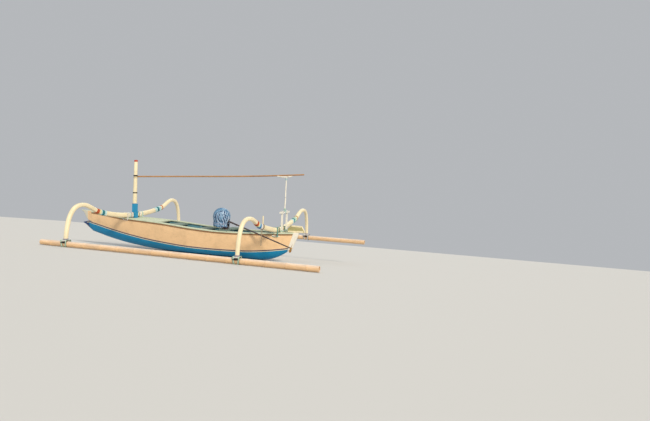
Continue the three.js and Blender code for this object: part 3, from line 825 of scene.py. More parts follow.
def hull_loop(boom, sign, offset, toggle, cord=7):
    x = boom["x"]
    s = sheer_at(x)
    outer = s.half + CAP_OVERHANG + cord / 2 + 1
    y_top = outer - 4
    top = boom_height(boom, y_top) + boom["depth"] / 2 + cord / 2
    under = s.half + PLANK_BULGE + cord / 2
    half = boom["width"] / 2 + cord / 2 + offset
    side = [(half, y_top, top - 12), (half, outer, s.sheer - 2),
            (half, outer, s.sheer - CAP_HEIGHT)]
    if toggle:
        low = s.sheer - TOGGLE_BELOW
        reach = plank_face(x, low) + 2 * TOGGLE_RADIUS + cord / 2 + 1
        side += [(half, reach + 1, low + 8), (half - 1, reach, low - 3),
                 (half - 4, under - 3, low - TOGGLE_RADIUS - 5)]
        middle = (0, under - 4, low - TOGGLE_RADIUS - 7)
    else:
        low = s.sheer - 42
        side += [(half - 6, under + 2, low)]
        middle = (0, under + 1, low - 3)
    loop = [(0.5 * half, y_top, top), *side, middle,
            *[(-a, b, c) for a, b, c in reversed(side)], (-0.5 * half, y_top, top)]
    return loop_of_cord([(x + a, sign * b, c) for a, b, c in loop], cord, times=2)


def make_toggle(side, sign):
    """A pale stick under a rear lashing, with dark cord ends hanging from it"""
    z = sheer_at(0).sheer - TOGGLE_BELOW
    path = [(x, sign * (plank_face(x, z) + TOGGLE_RADIUS + 1), z + 0.05 * x)
            for x in (-82, -80, -40, 0, 40, 62, 64)]
    radii = [TOGGLE_RADIUS * share for share in (0.7, 0.95, 1, 1.02, 1, 0.95, 0.7)]
    piece(f"lashing_toggle_{side}", tube(path, radii, 14), "white_paint")
    ends = []
    for x, drop, sway in ((-14, 76, 5), (-2, 58, -4), (-30, 40, 3)):
        points = [(x + sway * t, sign * (plank_face(x, z - drop * t) + 5
                                         + 15 * max(0, 1 - 3 * t)), z + 4 - (drop + 4) * t)
                  for t in (0, 0.1, 0.2, 0.35, 0.5, 0.65, 0.8, 0.9, 1)]
        ends.append(tube(points, 3, 8))
    roped(f"lashing_ends_{side}", joined(ends), "black")


HULL_CORDS = {"rear_port": "sea", "rear_starboard": "sea", "front_port": "white",
              "front_starboard": "aqua"}
for name, boom, side, sign in CORNERS:
    roped(f"{name}_hull_lashing_{side}",
          joined(hull_loop(boom, sign, 7.5 * k, name == "rear") for k in range(3)),
          HULL_CORDS[f"{name}_{side}"])
for side, sign in SIDES:
    make_toggle(side, sign)

# Turns of cord on the front beam, on each side of the mast box, and on the rear beam
for name, start, end, colour in (
        ("front", 56, 78, "white"), ("front", 92, 118, "violet"), ("front", 132, 158, "aqua"),
        ("front", 172, 196, "white"), ("front", -80, -104, "aqua"),
        ("front", -136, -150, "black"), ("front", -170, -214, "white"),
        ("rear", 40, 62, "mint"), ("rear", -60, -84, "mint")):
    roped(f"{name}_beam_turns_{'port' if start > 0 else 'starboard'}_{abs(start)}",
          wound(beam_path(BOOMS[name]), start, end, 7), colour)


# Hanging rope: its route as in the part's source, down from the rear beam and up again
ROPE_DIAMETER = 10
ROPE_ROUTE = [
    (866, 412.6), (866, 396), (867, 370), (869, 338), (870, 304), (870, 268), (868, 232),
    (866, 200), (865, 176), (865, 157), (868.3, 144.5), (877.5, 135.3), (890, 132), (902.5, 135.3),
    (911.7, 144.5), (915, 157), (915, 176), (914, 200), (912, 232), (910, 268), (910, 304),
    (911, 338), (913, 370), (914, 396), (914, 422),
]


def make_hanging_rope():
    route = smoothed([(0, y, z) for y, z in ROPE_ROUTE], 2)
    rope = roped("hanging_rope_loop", tube(route, ROPE_DIAMETER / 2), "hemp",
                 node="hanging_rope")
    roped("hanging_rope_hitch", wound(beam_path(BOOMS["rear"]), 858, 922, 9, pitch=21), "hemp")


make_hanging_rope()

# Pieces that keep their CAD solid get soft edges, by width in millimetres, and some a paint
for width, nodes in ((5, "mast_box crutch_cap_bar"), (7, "stern_tail"), (6, "stern_post"),
                     (4, "crutch_upright_port crutch_upright_starboard motor_bed thwart_aft "
                         "thwart_middle thwart_fore"),
                     (8, "engine_block"), (1.5, "motor_yoke"), (3, "floor_boards rear_peg"),
                     (2, "engine_cradle rib_1 rib_2 rib_3")):
    for node in nodes.split():
        configure(frame["nodes"][node].modifiers.new("bevel", "BEVEL"), width=width / 1000,
                  segments=2, limit_method="ANGLE", angle_limit=radians(40))
for node in ("thwart_aft", "thwart_middle", "thwart_fore", "motor_bed"):
    frame["nodes"][node].data.materials[0] = material_of("thwart paint")
frame["nodes"]["mast_box"].data.materials[0] = material_of("box blue")


# Mast: a tapering pole with a red tip, cord bands, and a pale ring at its foot
MAST_X = 3174
MAST_FOOT = 634.3
MAST_TOP = 1533
MAST_RADIUS = 42
MAST_TOP_RADIUS = 34
MAST_TIP = MAST_TOP - 36


def mast_radius(z):
    return mix(MAST_RADIUS, MAST_TOP_RADIUS, (z - MAST_FOOT) / (MAST_TOP - MAST_FOOT))


def pole_turns(x, low, high, turns, cord, radii, steps=28, lead=0):
    """A cord wound up a pole, whose radii are given below and above"""
    points = []
    for share, angle in helix(turns, steps):
        reach = mix(*radii, share) + cord / 2 - 0.4
        points.append((x + reach * cos(angle + lead), reach * sin(angle + lead),
                       mix(low, high, share)))
    return tube(points, cord / 2, 6)


def make_mast():
    rings = [circle(Vector((MAST_X, 0, z)), X_AXIS, Y_AXIS, mast_radius(z) * share, 32)
             for z, share in ((MAST_FOOT, 0.97), (MAST_FOOT + 4, 1), (900, 1.01), (1180, 0.985),
                              (MAST_TIP - 2, 1), (MAST_TIP, 0.97), (MAST_TIP + 2, 1.03),
                              (MAST_TOP - 6, 1), (MAST_TOP, 0.87))]
    mast = piece("mast_pole", loft(rings), "pale_paint", "mast")
    paint_faces(mast, "red paint", lambda c: c.z > MAST_TIP)
    for low, high, colour, cord in ((1196, 1226, "black", 6), (852, 872, "black", 7),
                                    (1164, 1176, "tan", 6), (637, 655, "white", 8)):
        radii = (mast_radius(low), mast_radius(high))
        roped(f"mast_turns_{low}",
              pole_turns(MAST_X, low, high, round((high - low) / cord), cord, radii), colour)


make_mast()


# Spar: a thin bamboo pole, lashed beside the mast and resting on the crescent aft. It bows up and
# to the side, in columns: x and how far.
SPAR_RADII = (13.5, 15.2)
SPAR_BOW = [(-442, 46), (-100, 35), (189, 27), (490, 20), (844, 15), (1291, 13), (2023, 12),
            (3210, 9)]
SPAR_SIDE = [(2023, 0), (3174, -13), (3210, -13.5)]
CRUTCH_X = -100
CRUTCH_HALF = 133
SADDLE_LOW = 1349
SADDLE_HALF = 470
SADDLE_TILT = -0.0407
SADDLE_SAG = 0.000123
CAP_BAR_LOW = 664
CAP_BAR_HIGH = 694
CAP_BAR_MIDDLE = (CAP_BAR_LOW + CAP_BAR_HIGH) / 2

# Half of the corners of a cord round a crutch upright; the others lie opposite
UPRIGHT_CORNERS = ((16.5, 12), (16.5, 23.5), (5, 23.5), (-5, 23.5), (-16.5, 23.5), (-16.5, 12))


def make_spar():
    spar = frame["nodes"]["spar"]
    points = [row_to_boat @ (spar.matrix_world @ v.co) for v in spar.data.vertices]
    ends = []
    for pick in (min, max):
        edge = pick(point.x for point in points)
        near = [point for point in points if abs(point.x - edge) < 12]
        ends.append(sum(near, Vector()) / len(near))
    points, faces = bamboo_pole(*ends, SPAR_RADII, 150, 160, 1.2, 20)
    bends = [tuple(zip(*table)) for table in (SPAR_SIDE, SPAR_BOW)]
    points = [point + Vector((0, *(float(numpy.interp(point.x, *bend)) for bend in bends)))
              for point in points]
    piece("spar_pole", (points, faces), "bare_wood", "spar", "spar bamboo", body="spar")


def cross_turns(y, z, reach_y, reach_z, cord=6):
    """Loops of cord laid diagonally over a post and a bar that cross"""
    loops = []
    deep = max(reach_y, reach_z) * 0.8 + cord
    for sign in (1, -1):
        along = Vector((0, reach_y, sign * reach_z))
        shift = Vector((0, reach_y, -sign * reach_z)).normalized() * cord
        for k in (-1, 0, 1):
            loops.append(loop_of_cord([
                Vector((CRUTCH_X + deep * squared(sin(a), 0.6), y, z))
                + along * squared(cos(a), 0.6) + shift * k for a in angles(40)], cord))
    return joined(loops)


def saddle_height(y):
    """The crescent's middle line: sagging, and a little higher to starboard"""
    return SADDLE_LOW + SADDLE_TILT * y + SADDLE_SAG * y ** 2


def make_crutch():
    path = [(CRUTCH_X + 1.4 * sin(i * 1.1), 1.2 * sin(i * 0.7 + 1),
             mix(CAP_BAR_HIGH + SEAT, SADDLE_LOW - 12, i / 12)) for i in range(13)]
    radii = [mix(14, 11, i / 12) + 0.6 * sin(i * 2.3) for i in range(13)]
    piece("crutch_pole", tube(path, radii, 16), "white_paint", "crutch_post")
    rows = []
    for share in shares(40):
        out = mix(-1, 1, share)
        y = out * SADDLE_HALF
        size = (26 - 9 * abs(out), 34) if abs(out) < 1 else (14, 26)
        rows.append((CRUTCH_X, y, saddle_height(y), *size))
    piece("crutch_saddle", loft(bar_rings(rows)), "white_paint", "crutch_crescent")
    for label, height, radius, cord, turns, colour in (
            ("top", SADDLE_LOW - 42, 11, 6, 6, "aqua"),
            ("low", CAP_BAR_HIGH + 34, 14, 6, 8, "mint"), ("middle", 960, 13, 5, 3, "white")):
        half = turns / 2 * cord * 1.04
        roped(f"crutch_tie_{label}", pole_turns(CRUTCH_X, height - half, height + half, turns,
                                                cord, (radius, radius), 24, pi / 4), colour)
    foot = sheer_at(CRUTCH_X).sheer + 22
    corners = [(way * a, way * b) for way in (1, -1) for a, b in UPRIGHT_CORNERS]
    for side, sign in SIDES:
        y = sign * CRUTCH_HALF
        roped(f"upright_turns_{side}",
              joined(loop_of_cord([(CRUTCH_X + a, y + b, foot + 6.2 * k + 0.1 * a)
                                   for a, b in corners], 6, times=1) for k in range(4)), "mint")
        roped(f"cap_bar_lashing_{side}", cross_turns(y, CAP_BAR_MIDDLE, 26, 24), "white")
    roped("post_lashing", cross_turns(0, CAP_BAR_MIDDLE + 6, 24, 22), "aqua")


make_spar()
make_crutch()


# Bow: a beak over an open mouth and a pointed jaw below it, in columns: x, low, high, half width
# low and high
BEAK_TABLE = [(4150.3, 186.3, 419, 58, 78), (4237, 216, 421, 42, 60), (4296, 250, 423, 33, 47),
              (4340, 306, 425, 26, 36), (4384, 374, 427, 18, 26), (4448, 408, 428, 9, 12)]
JAW_TABLE = [(4150.3, 2, 186, 14, 58), (4237, 56, 208, 11, 42), (4320, 116, 189, 9, 26),
             (4400, 158, 172, 5, 8)]
BEAK_BULGE = 2.5
JAW_BULGE = 4
JAW_LINES_END = 4300

# Where the bow's painted shade begins along the boat, and the heights of the mouth's roof and
# beak's top
BEAK_SHADE_FROM = 4262
JAW_SHADE_FROM = 4230
MOUTH_FROM = 4180
MOUTH_TOP = 400
BEAK_TOP = 417


def prow_ring(x, low, high, half_low, half_high, bulge):
    """A tapered section, its sides a little full and its edges eased"""
    edge = min(4, half_low * 0.3)
    side = [(half_low - edge, low), (half_low, low + edge)]
    side += [(mix(half_low, half_high, share) + bulge * sin(pi * share), mix(low, high, share))
             for share in shares(9)[1:-1]]
    side += [(half_high, high - edge), (half_high - edge, high)]
    return [(x, y, z) for y, z in both_sides(side)]


def make_prow():
    rings = [prow_ring(*row, BEAK_BULGE) for row in smoothed(BEAK_TABLE, 2)]
    beak = piece("beak", loft(rings), "cream_paint", "bow_beak", sharp=40)
    # Painted shade: the beak's front is greyer, where the bow lies in shade
    paint_faces(beak, "grey beak", lambda c: c.x > BEAK_SHADE_FROM)
    paint_faces(beak, "inside paint",
                lambda c: c.x > MOUTH_FROM and abs(c.y) < 8 and c.z < MOUTH_TOP)
    paint_faces(beak, "green paint", lambda c: c.z > BEAK_TOP and abs(c.y) < 60)
    rows = smoothed(JAW_TABLE, 2)
    rings = [prow_ring(*row, JAW_BULGE) for row in rows]
    jaw = piece("jaw", loft(rings), "blue_paint", "bow_jaw", sharp=40)
    # Painted shade: the jaw's front is navy, where the blue lies in shade
    paint_faces(jaw, "navy paint", lambda c: c.x > JAW_SHADE_FROM)
    for side, sign in SIDES:
        for name, (top, bottom) in (("dark", DARK_LINE), ("pale", PALE_LINE)):
            strip = []
            for x, low, high, half_low, half_high in rows:
                if x > JAW_LINES_END:
                    break
                section = []
                for drop, out in ((top + 1, 0.4), (top + 1, 1.6), (bottom, 1.6), (bottom, 0.4)):
                    share = clamp(1 - drop / (high - low))
                    y = mix(half_low, half_high, share) + JAW_BULGE * sin(pi * share) + out
                    section.append((x, sign * y, high - drop))
                strip.append(section)
            piece(f"jaw_{name}_line_{side}", loft(strip), "white_paint", paint=f"{name} line")


make_prow()


# Stern board: an olive panel, painted shade in its recess, between a bright rail along its top and
# another along its foot, with an olive middle rail as a painted shadow line. It narrows aft, in
# columns: how far aft and half width.
TAIL_TABLE = ((190, 46), (249, 44), (454, 30), (512, 24))
PANEL_INSIDE, PANEL_LOW, PANEL_HIGH = 20, 312, 436


def make_tail_rails():
    # Painted shade: the panel between the rails is olive
    paint_faces(frame["nodes"]["stern_tail"], "olive paint",
                lambda c: abs(c.y) > PANEL_INSIDE and PANEL_LOW < c.z < PANEL_HIGH)
    for label, line, depth, out, paint in (
            ("top", [(-262, 425), (-310, 424), (-380, 422), (-446, 420)], 17, 5, "pale paint"),
            # The middle rail's olive is a painted shadow line
            ("middle", [(-214, 392), (-300, 388), (-400, 380), (-470, 372)], 8, 2.5,
             "olive paint"),
            ("low", [(-200, 322), (-300, 324), (-400, 327), (-500, 330)], 30, 5, "pale paint")):
        for side, sign in SIDES:
            rings = []
            for x, z in smoothed(line, 2):
                half = float(numpy.interp(-x, *zip(*TAIL_TABLE)))
                inner, outer, low, high = half - 1, half + out, z - depth / 2, z + depth / 2
                rings.append([(x, sign * y, height) for y, height in (
                    (inner, low), (outer - 1.5, low), (outer, low + 2), (outer, high - 2),
                    (outer - 1.5, high), (inner, high))])
            piece(f"tail_rail_{label}_{side}", loft(rings), "pale_paint", paint=paint)


make_tail_rails()


def make_deck(node, x0, x1, boards, seam=1.6, thick=18):
    """A deck of narrow boards, over the CAD deck's room"""
    shapes = []
    for k in range(boards):
        rings = []
        for x in (mix(x0, x1, share) for share in shares(26)):
            s = sheer_at(x)
            half = s.cap_inner - 1
            y0 = mix(-half, half, k / boards) + (seam if k else 0)
            y1 = mix(-half, half, (k + 1) / boards) - (seam if k < boards - 1 else 0)
            top = s.sheer - 8
            ease = min(2.5, (y1 - y0) / 4)
            rings.append([(x, y0, top - thick), (x, y0, top - ease), (x, y0 + ease, top),
                          (x, (y0 + y1) / 2, top + 0.8), (x, y1 - ease, top),
                          (x, y1, top - ease), (x, y1, top - thick)])
        shapes.append(loft(rings))
    piece(f"{node}_boards", joined(shapes), "green_paint", node, sharp=30)


make_deck("foredeck", 2480, 4140, 5)
make_deck("aftdeck", -212, 130, 4)


FRAME_PLACES = (430, 880, 1380, 1800, 2200)


def make_frame(x, side, sign, thick=20):
    """A thin rib up one side of the hull"""
    s = sheer_at(x)
    rings = []
    for share in shares(14):
        z = mix(s.line + 6, s.sheer - CAP_HEIGHT - 4, share)
        y = s.plank(share) - PLANK_THICKNESS
        rings.append([(x + along, sign * (y + out), z) for along, out in (
            (-14, 1), (-14, 3 - thick), (-11, -thick), (11, -thick), (14, 3 - thick), (14, 1))])
    piece(f"frame_{x}_{side}", loft(rings), "bare_wood", paint="inside paint")


for x in FRAME_PLACES:
    for side, sign in SIDES:
        make_frame(x, side, sign)


# Motor: its pieces are laid out about the swivel, with their own x running forward
MOTOR_YAW = -atan(0.2065)
MOTOR_X, MOTOR_Y, BED_TOP = 1010, 202, 284.7
SHAFT_HEIGHT = 458 - BED_TOP
SHAFT_FALL = 0.2634
SHAFT_AFT = -1440
motor_place = (Matrix.Translation((MOTOR_X, MOTOR_Y, BED_TOP))
               @ Matrix.Rotation(MOTOR_YAW, 4, "Z"))

# The shaft's casing and its fittings, in columns: x and radius
SHAFT_TABLE = ((-15, 17.5), (-60, 17.5), (-64, 15.5), (-240, 15.5), (-244, 17.5), (-262, 17.5),
               (-266, 13.5), (-700, 13), (-704, 14.5), (-730, 14.5), (-734, 12.5), (-1180, 12),
               (-1184, 13), (-1206, 13), (-1210, 11), (-1400, 11), (-1404, 12), (-1440, 12))

# Propeller hub in columns x and radius, and its blades in columns reach, half width, half thickness
HUB_TABLE = ((0, 13), (-2, 15), (-24, 14.5), (-38, 12), (-46, 8), (-50, 3))
BLADE_TABLE = [(8, 10, 4), (20, 18, 3.6), (40, 25, 2.8), (60, 26, 2.2), (76, 20, 1.8), (84, 9, 1.2)]
BLADE_TWIST = 0.55
BLADE_X = -25


def shaft_point(x):
    return (x, 0, SHAFT_HEIGHT + x * SHAFT_FALL)


def make_propeller():
    place = (motor_place @ Matrix.Translation(shaft_point(SHAFT_AFT - SEAT))
             @ Matrix.Rotation(-atan(SHAFT_FALL), 4, "Y"))
    shapes = [loft([circle(x * X_AXIS, Y_AXIS, Z_AXIS, r, 24) for x, r in HUB_TABLE])]
    for sign in (1, -1):
        rings = []
        for reach, half, thick in smoothed(BLADE_TABLE):
            twist = sign * (BLADE_TWIST + (40 - reach) * 0.004)
            turn = Matrix.Rotation(twist, 2)
            rings.append([(*(turn @ Vector((thick * sin(a), half * cos(a)))
                             + Vector((BLADE_X, 0))), sign * reach) for a in angles(14)])
        shapes.append(loft(rings))
    piece("propeller_cast", joined(shapes), "bronze", "propeller", body="propeller", place=place)


piece("shaft_casing", tube([shaft_point(x) for x, _ in SHAFT_TABLE],
                           [r for _, r in SHAFT_TABLE], 24),
      "steel", "shaft_tube", body="motor", place=motor_place, sharp=30)
make_propeller()


# Tarpaulin over the engine: a round sheet fuller than what it covers, so that it buckles into
# folds, draped by a cloth simulation and tied near its foot. It opens aft over the shaft. The
# cover's rings are height and share of its half width.
COVER_CENTRE = 105
COVER_HALF = (182, 168)
COVER_MEAN = 175
COVER_RINGS = [(27, 1.10), (75, 1.0), (112, 0.9), (150, 0.93), (190, 1), (265, 1), (330, 0.87),
               (378, 0.62), (402, 0.35), (412, 0.12)]
COVER_CREST = 414
CROWN = 412
SLOT_HALF = 20
SLOT_TOP = 214
GATHER_HEIGHT = 112
TARP_POINTS = 7800
TARP_FULLNESS = 0.6
TARP_SLACK = 1.09
TARP_INSET = 12
TARP_FRAMES = 36

# Creases pressed into the sheet: depth and width in millimetres, then points by angle in degrees
# and height
FOLDS = (
    (20, 14, ((94, 343), (82, 315), (76, 275), (78, 227), (80, 179), (82, 139))),
    (18, 12, ((98, 259), (100, 211), (108, 163), (112, 147))),
    (14, 11, ((122, 179), (130, 143))),
    (18, 12, ((136, 215), (144, 167), (150, 131))),
    (20, 11, ((148, 268), (148, 236))),
    (20, 12, ((147, 362), (144, 335), (142, 300))),
    (14, 11, ((164, 215), (162, 171))),
    (14, 11, ((182, 319), (176, 295), (166, 247))),
    (20, 13, ((100, 332), (112, 356), (128, 362))),
    (16, 11, ((104, 300), (110, 268))),
    (17, 11, ((168, 372), (172, 345))),
    (12, 13, ((136, 107), (144, 71), (144, 27))),
    (11, 12, ((110, 103), (114, 67), (114, 27))),
    (11, 12, ((170, 115), (178, 63), (174, 27))),
)
FOLD_DEPTH = 22
HOLLOW_REACH = 26

# Folds sink level into the sheet up to the shoulder, and more and more downward above it
SHOULDER = 250
SHOULDER_TURN = 1.1

# How far the sheet may stand off the cover, up to what height that is kept, and the share of
# what is beyond it that stays
COVER_ROOM = 6
ROOM_TOP = 330
ROOM_LEFT = 0.15
SHEET_HEIGHTS = (31, 418)

# The cord round the sheet is laid by the points' reach in each step of this many degrees
TIE_STEP = 5
TIE_BAND = 7

# What the sheet settles on inside the cover, in columns: height and inset from the cover
UNDER_TABLE = ((60, 38), (112, 30), (150, 28), (190, 27), (230, 25), (265, 22), (300, 19),
               (330, 16), (355, 14), (378, 12), (395, 10), (408, 8))
ENGINE_LOW, ENGINE_HIGH = (-16, -93, 60), (226, 93, 306)

cover_profile = tuple(zip(*smoothed(COVER_RINGS, 2)))


def cover_scale(height):
    return float(numpy.interp(height, *cover_profile))


def cover_point(angle, scale, height, inset=0):
    return (COVER_CENTRE + (COVER_HALF[0] * scale - inset) * cos(angle),
            (COVER_HALF[1] * scale - inset) * sin(angle), height)


def cover_surface(angle, height, inset=0):
    return Vector(cover_point(angle, cover_scale(height), height, inset))


def hem_height(angle):
    """The hem dips and rises a little, and opens over the shaft aft"""
    wave = 7 * sin(5 * angle + 1) + 5 * sin(11 * angle)
    across = COVER_HALF[1] * sin(angle)
    slot = exp(-(across / (SLOT_HALF + 4)) ** 4) if cos(angle) < 0 else 0
    return mix(46 + wave, SLOT_TOP, slot)


def down_the_cover():
    """Points down the cover's middle line: length from the crown, radius share and height"""
    rows = [(0.0, 0.0, float(COVER_CREST))]
    for height in [413 - 1.5 * i for i in range(260)]:
        scale = cover_scale(height) if height < CROWN else 0.12 * (COVER_CREST - height) / 2
        length, before, above = rows[-1]
        step = hypot(COVER_MEAN * (scale - before), height - above)
        rows.append((length + step, scale, height))
    return rows


def tarp_points():
    """Share of the way out and angle of the sheet's points, evenly spread, and a ring at the hem"""
    turn = pi * (3 - sqrt(5))
    spread = [(0.985 * sqrt((k + 0.5) / TARP_POINTS), (k * turn) % (2 * pi))
              for k in range(TARP_POINTS)]
    return spread + [(1.0, angle) for angle in angles(round(2 * sqrt(pi * TARP_POINTS)))]


def tarp_start():
    """The sheet laid smoothly on the cover, its shape at rest, the points under the cord, and
    the faces"""
    lengths, scales, heights = zip(*down_the_cover())
    falls = [-height for height in heights]
    wide, drop = [0.0], [0.0]
    for i in range(1, len(lengths)):
        wide.append(mix(COVER_MEAN * scales[i], lengths[i], TARP_FULLNESS))
        step = lengths[i] - lengths[i - 1]
        drop.append(drop[-1] + sqrt(max(step ** 2 - (wide[-1] - wide[-2]) ** 2, 0)))
    places, rest, tied = [], [], []
    spread = tarp_points()
    for share, angle in spread:
        along = share * float(numpy.interp(-hem_height(angle), falls, lengths))
        scale, height, radius, fall = (float(numpy.interp(along, lengths, column))
                                       for column in (scales, heights, wide, drop))
        dent = 5.0 * noise.noise(Vector((4 * cos(angle), 4 * sin(angle), height / 50)))
        inset = TARP_INSET * clamp(scale * 2) + dent
        near_cord = abs(height - GATHER_HEIGHT) < 5 and hem_height(angle) < 80
        if near_cord:
            inset = 3.0 + 5.0 * sin(31 * angle + 2 * sin(3 * angle))
        tied.append(near_cord)
        places.append(cover_point(angle, scale, height - 2, inset))
        radius *= TARP_SLACK
        rest.append((radius * cos(angle), radius * sin(angle), -TARP_SLACK * fall))
    flat = [Vector((share * cos(angle), share * sin(angle))) for share, angle in spread]
    faces = delaunay_2d_cdt(flat, [], [], 0, 1e-7)[2]
    return places, rest, tied, [tuple(face) for face in faces]


def simulation_object(name, vertices, faces):
    mesh = bpy.data.meshes.new(name)
    mesh.from_pydata([Vector(v) / 1000 for v in vertices], [], faces)
    return add_object(name, mesh)


def block(low, high):
    (x0, y0, z0), (x1, y1, z1) = low, high
    return loft([[(x, y0, z0), (x, y1, z0), (x, y1, z1), (x, y0, z1)] for x in (x0, x1)])


def drape(places, rest, tied, faces):
    """Settles the sheet over the engine and gives its points back"""
    under = [[cover_surface(a, height, inset) - 7 * Z_AXIS for a in angles(64)]
             for height, inset in UNDER_TABLE]
    lump = simulation_object("under the sheet", *loft(under))
    engine = simulation_object("engine inside", *block(ENGINE_LOW, ENGINE_HIGH))
    for thing in (lump, engine):
        thing.modifiers.new("hard", "COLLISION")
        configure(thing.collision, thickness_outer=0.003, cloth_friction=12)
    sheet = simulation_object("sheet", places, faces)
    sheet.shape_key_add(name="Basis")
    shape = sheet.shape_key_add(name="rest")
    shape.data.foreach_set("co", [c / 1000 for point in rest for c in point])
    pins = sheet.vertex_groups.new(name="tied")
    pins.add([i for i, held in enumerate(tied) if held], 1.0, "REPLACE")
    cloth = sheet.modifiers.new("drape", "CLOTH")
    configure(cloth.settings, rest_shape_key=shape, vertex_group_mass="tied", quality=6, mass=0.2,
              tension_stiffness=25, compression_stiffness=25, shear_stiffness=8,
              bending_stiffness=3.0, air_damping=2)
    configure(cloth.collision_settings, distance_min=0.003, use_self_collision=True,
              self_distance_min=0.0018)
    configure(cloth.point_cache, frame_start=1, frame_end=TARP_FRAMES)
    for moment in range(1, TARP_FRAMES + 1):
        bpy.context.scene.frame_set(moment)
    settled = sheet.evaluated_get(bpy.context.evaluated_depsgraph_get()).to_mesh()
    values = numpy.empty(len(places) * 3)
    settled.vertices.foreach_get("co", values)
    bpy.context.scene.frame_set(1)
    for thing in (sheet, lump, engine):
        bpy.data.objects.remove(thing)
    return values.reshape(-1, 3) * 1000


def within_cover(point):
    """Draws a point that stands too far off the cover back towards it"""
    out, y = point[0] - COVER_CENTRE, point[1]
    height = clamp(point[2], *SHEET_HEIGHTS)
    angle = atan2(y / COVER_HALF[1], out / COVER_HALF[0])
    limit = cover_surface(angle, min(height, CROWN), -COVER_ROOM)
    reach = hypot(out, y)
    most = hypot(limit.x - COVER_CENTRE, limit.y)
    share = 1
    if height < ROOM_TOP and reach > most:
        share = (most + ROOM_LEFT * (reach - most)) / reach
    return (COVER_CENTRE + out * share, y * share, height)


def hollows(points):
    """How deep each point lies among the points round it, in millimetres"""
    tree = kdtree.KDTree(len(points))
    for i, point in enumerate(points):
        tree.insert(point, i)
    tree.balance()
    depths = []
    for x, y, z in points:
        up = max(z - SHOULDER, 0) * SHOULDER_TURN
        out = Vector((x - COVER_CENTRE, y, up)).normalized()
        near = [other for other, _, _ in tree.find_range((x, y, z), HOLLOW_REACH)]
        depths.append((sum(near, Vector()) / len(near) - Vector((x, y, z))).dot(out))
    return depths


def fold_lines():
    """The creases seen in front, and fainter ones made up for the far side"""
    lines = [(depth, width, [cover_surface(radians(a), z) for a, z in row])
             for depth, width, row in FOLDS]
    rng = random.Random(5)
    for k in range(11):
        angle = radians(200 + k * 21 + rng.uniform(-6, 6))
        low, high = rng.uniform(125, 170), rng.uniform(230, 370)
        lean = rng.uniform(-0.6, 0.6)
        points = [cover_surface(angle + lean * t ** 1.5, mix(low, high, t)) for t in shares(4)]
        lines.append((rng.uniform(8, 15), rng.uniform(6, 10), points))
    return lines


def creased(points, share_of_depth):
    """Presses the fold lines into the sheet"""
    places = numpy.array(points)
    outward = places - numpy.array((COVER_CENTRE, 0, 0))
    outward[:, 2] = numpy.clip((places[:, 2] - SHOULDER) * SHOULDER_TURN, 0, None)
    outward /= numpy.linalg.norm(outward, axis=1)[:, None]
    moved = numpy.zeros(len(places))
    for depth, width, line in fold_lines():
        nearest = numpy.full(len(places), 1e9)
        for a, b in zip(line, line[1:]):
            start, run = numpy.array(tuple(a)), numpy.array(tuple(b - a))
            share = numpy.clip(((places - start) @ run) / (run @ run), 0, 1)
            across = places - start - share[:, None] * run
            across -= outward * (across * outward).sum(axis=1)[:, None] * 0.8
            nearest = numpy.minimum(nearest, numpy.linalg.norm(across, axis=1))
        moved += depth * numpy.exp(-(nearest / width) ** 1.6)
    depths = FOLD_DEPTH * numpy.tanh(moved / FOLD_DEPTH) * share_of_depth
    return [tuple(p) for p in places - outward * depths[:, None]]


def flat_place(angle, reach):
    return (COVER_CENTRE + reach * cos(angle), reach * sin(angle))


def round_the_sheet(points):
    """A taut loop of cord round the gathered points, which crosses the opening under the shaft"""
    low = GATHER_HEIGHT - 2
    reaches = {}
    for x, y, z in points:
        if abs(z - low) < TIE_BAND:
            turn = round(degrees(atan2(y, x - COVER_CENTRE)) / TIE_STEP) % (360 // TIE_STEP)
            reaches[turn] = max(reaches.get(turn, 0), hypot(x - COVER_CENTRE, y))
    rim = [flat_place(radians(TIE_STEP * turn), reach + 1.5)
           for turn, reach in reaches.items()]
    return [(x, y, low) for x, y in taut_line(rim)]


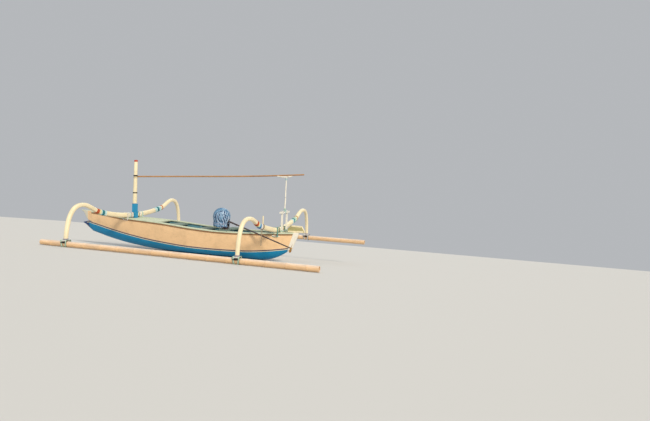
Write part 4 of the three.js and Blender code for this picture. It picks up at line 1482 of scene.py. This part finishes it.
def make_tarp():
    places, rest, tied, faces = tarp_start()
    settled = drape(creased(places, 0.5), rest, tied, faces)
    points = [within_cover(p) for p in creased(settled, 0.4)]
    cover = piece("engine_tarp", (points, faces), "tarp", "engine_cover", "tarp sheet",
                  body="motor", place=motor_place, sharp=180)
    # How much deeper each point lies after the drape: it drives the painted shade in the folds and
    # painted highlight on the ridges
    depth = cover.data.attributes.new("hollow", "FLOAT", "POINT")
    depth.data.foreach_set("value", [0.5 + (now - before) / 12 for now, before
                                     in zip(hollows(points), hollows(places))])
    configure(cover.modifiers.new("smooth folds", "SUBSURF"), levels=1, render_levels=1)
    configure(cover.modifiers.new("cloth thickness", "SOLIDIFY"), thickness=0.0012, offset=-1)
    cord = roped("tarp_tie", loop_of_cord(round_the_sheet(points), 6, 8), "violet",
                 body="motor", place=motor_place)


make_tarp()


# Floor and soft studio light, whose suns are given by place, angle, strength and colour
SUNS = {"key": ((-6.5, 6.0, 5.5), 14, 2.9, (1, 0.90, 0.76)),
        "fill": ((5.0, 5.0, 4.0), 40, 0.4, (0.9, 0.95, 1)),
        "back": ((1.0, -6.0, 5.0), 40, 0.5, (1, 0.97, 0.92))}


def make_stage():
    bpy.ops.mesh.primitive_plane_add(size=60)
    floor = bpy.context.object
    floor.name = "floor"
    ground = Shader("floor", 0.85)
    ground.feed(ground.shader, {"Base Color": (0.62, 0.62, 0.60)})
    floor.data.materials.append(ground.material)
    bpy.context.scene.view_settings.view_transform = "Standard"
    world = bpy.data.worlds.new("studio")
    world.use_nodes = True
    background = world.node_tree.nodes["Background"].inputs
    background["Color"].default_value = (0.93, 0.96, 1, 1)
    background["Strength"].default_value = 0.5
    bpy.context.scene.world = world
    for name, (place, angle, energy, colour) in SUNS.items():
        lamp = configure(bpy.data.lights.new(name, "SUN"), angle=radians(angle), energy=energy,
                         color=colour)
        turn = (-Vector(place)).to_track_quat("-Z", "Y").to_euler()
        configure(add_object(name, lamp), location=place, rotation_euler=turn)


make_stage()
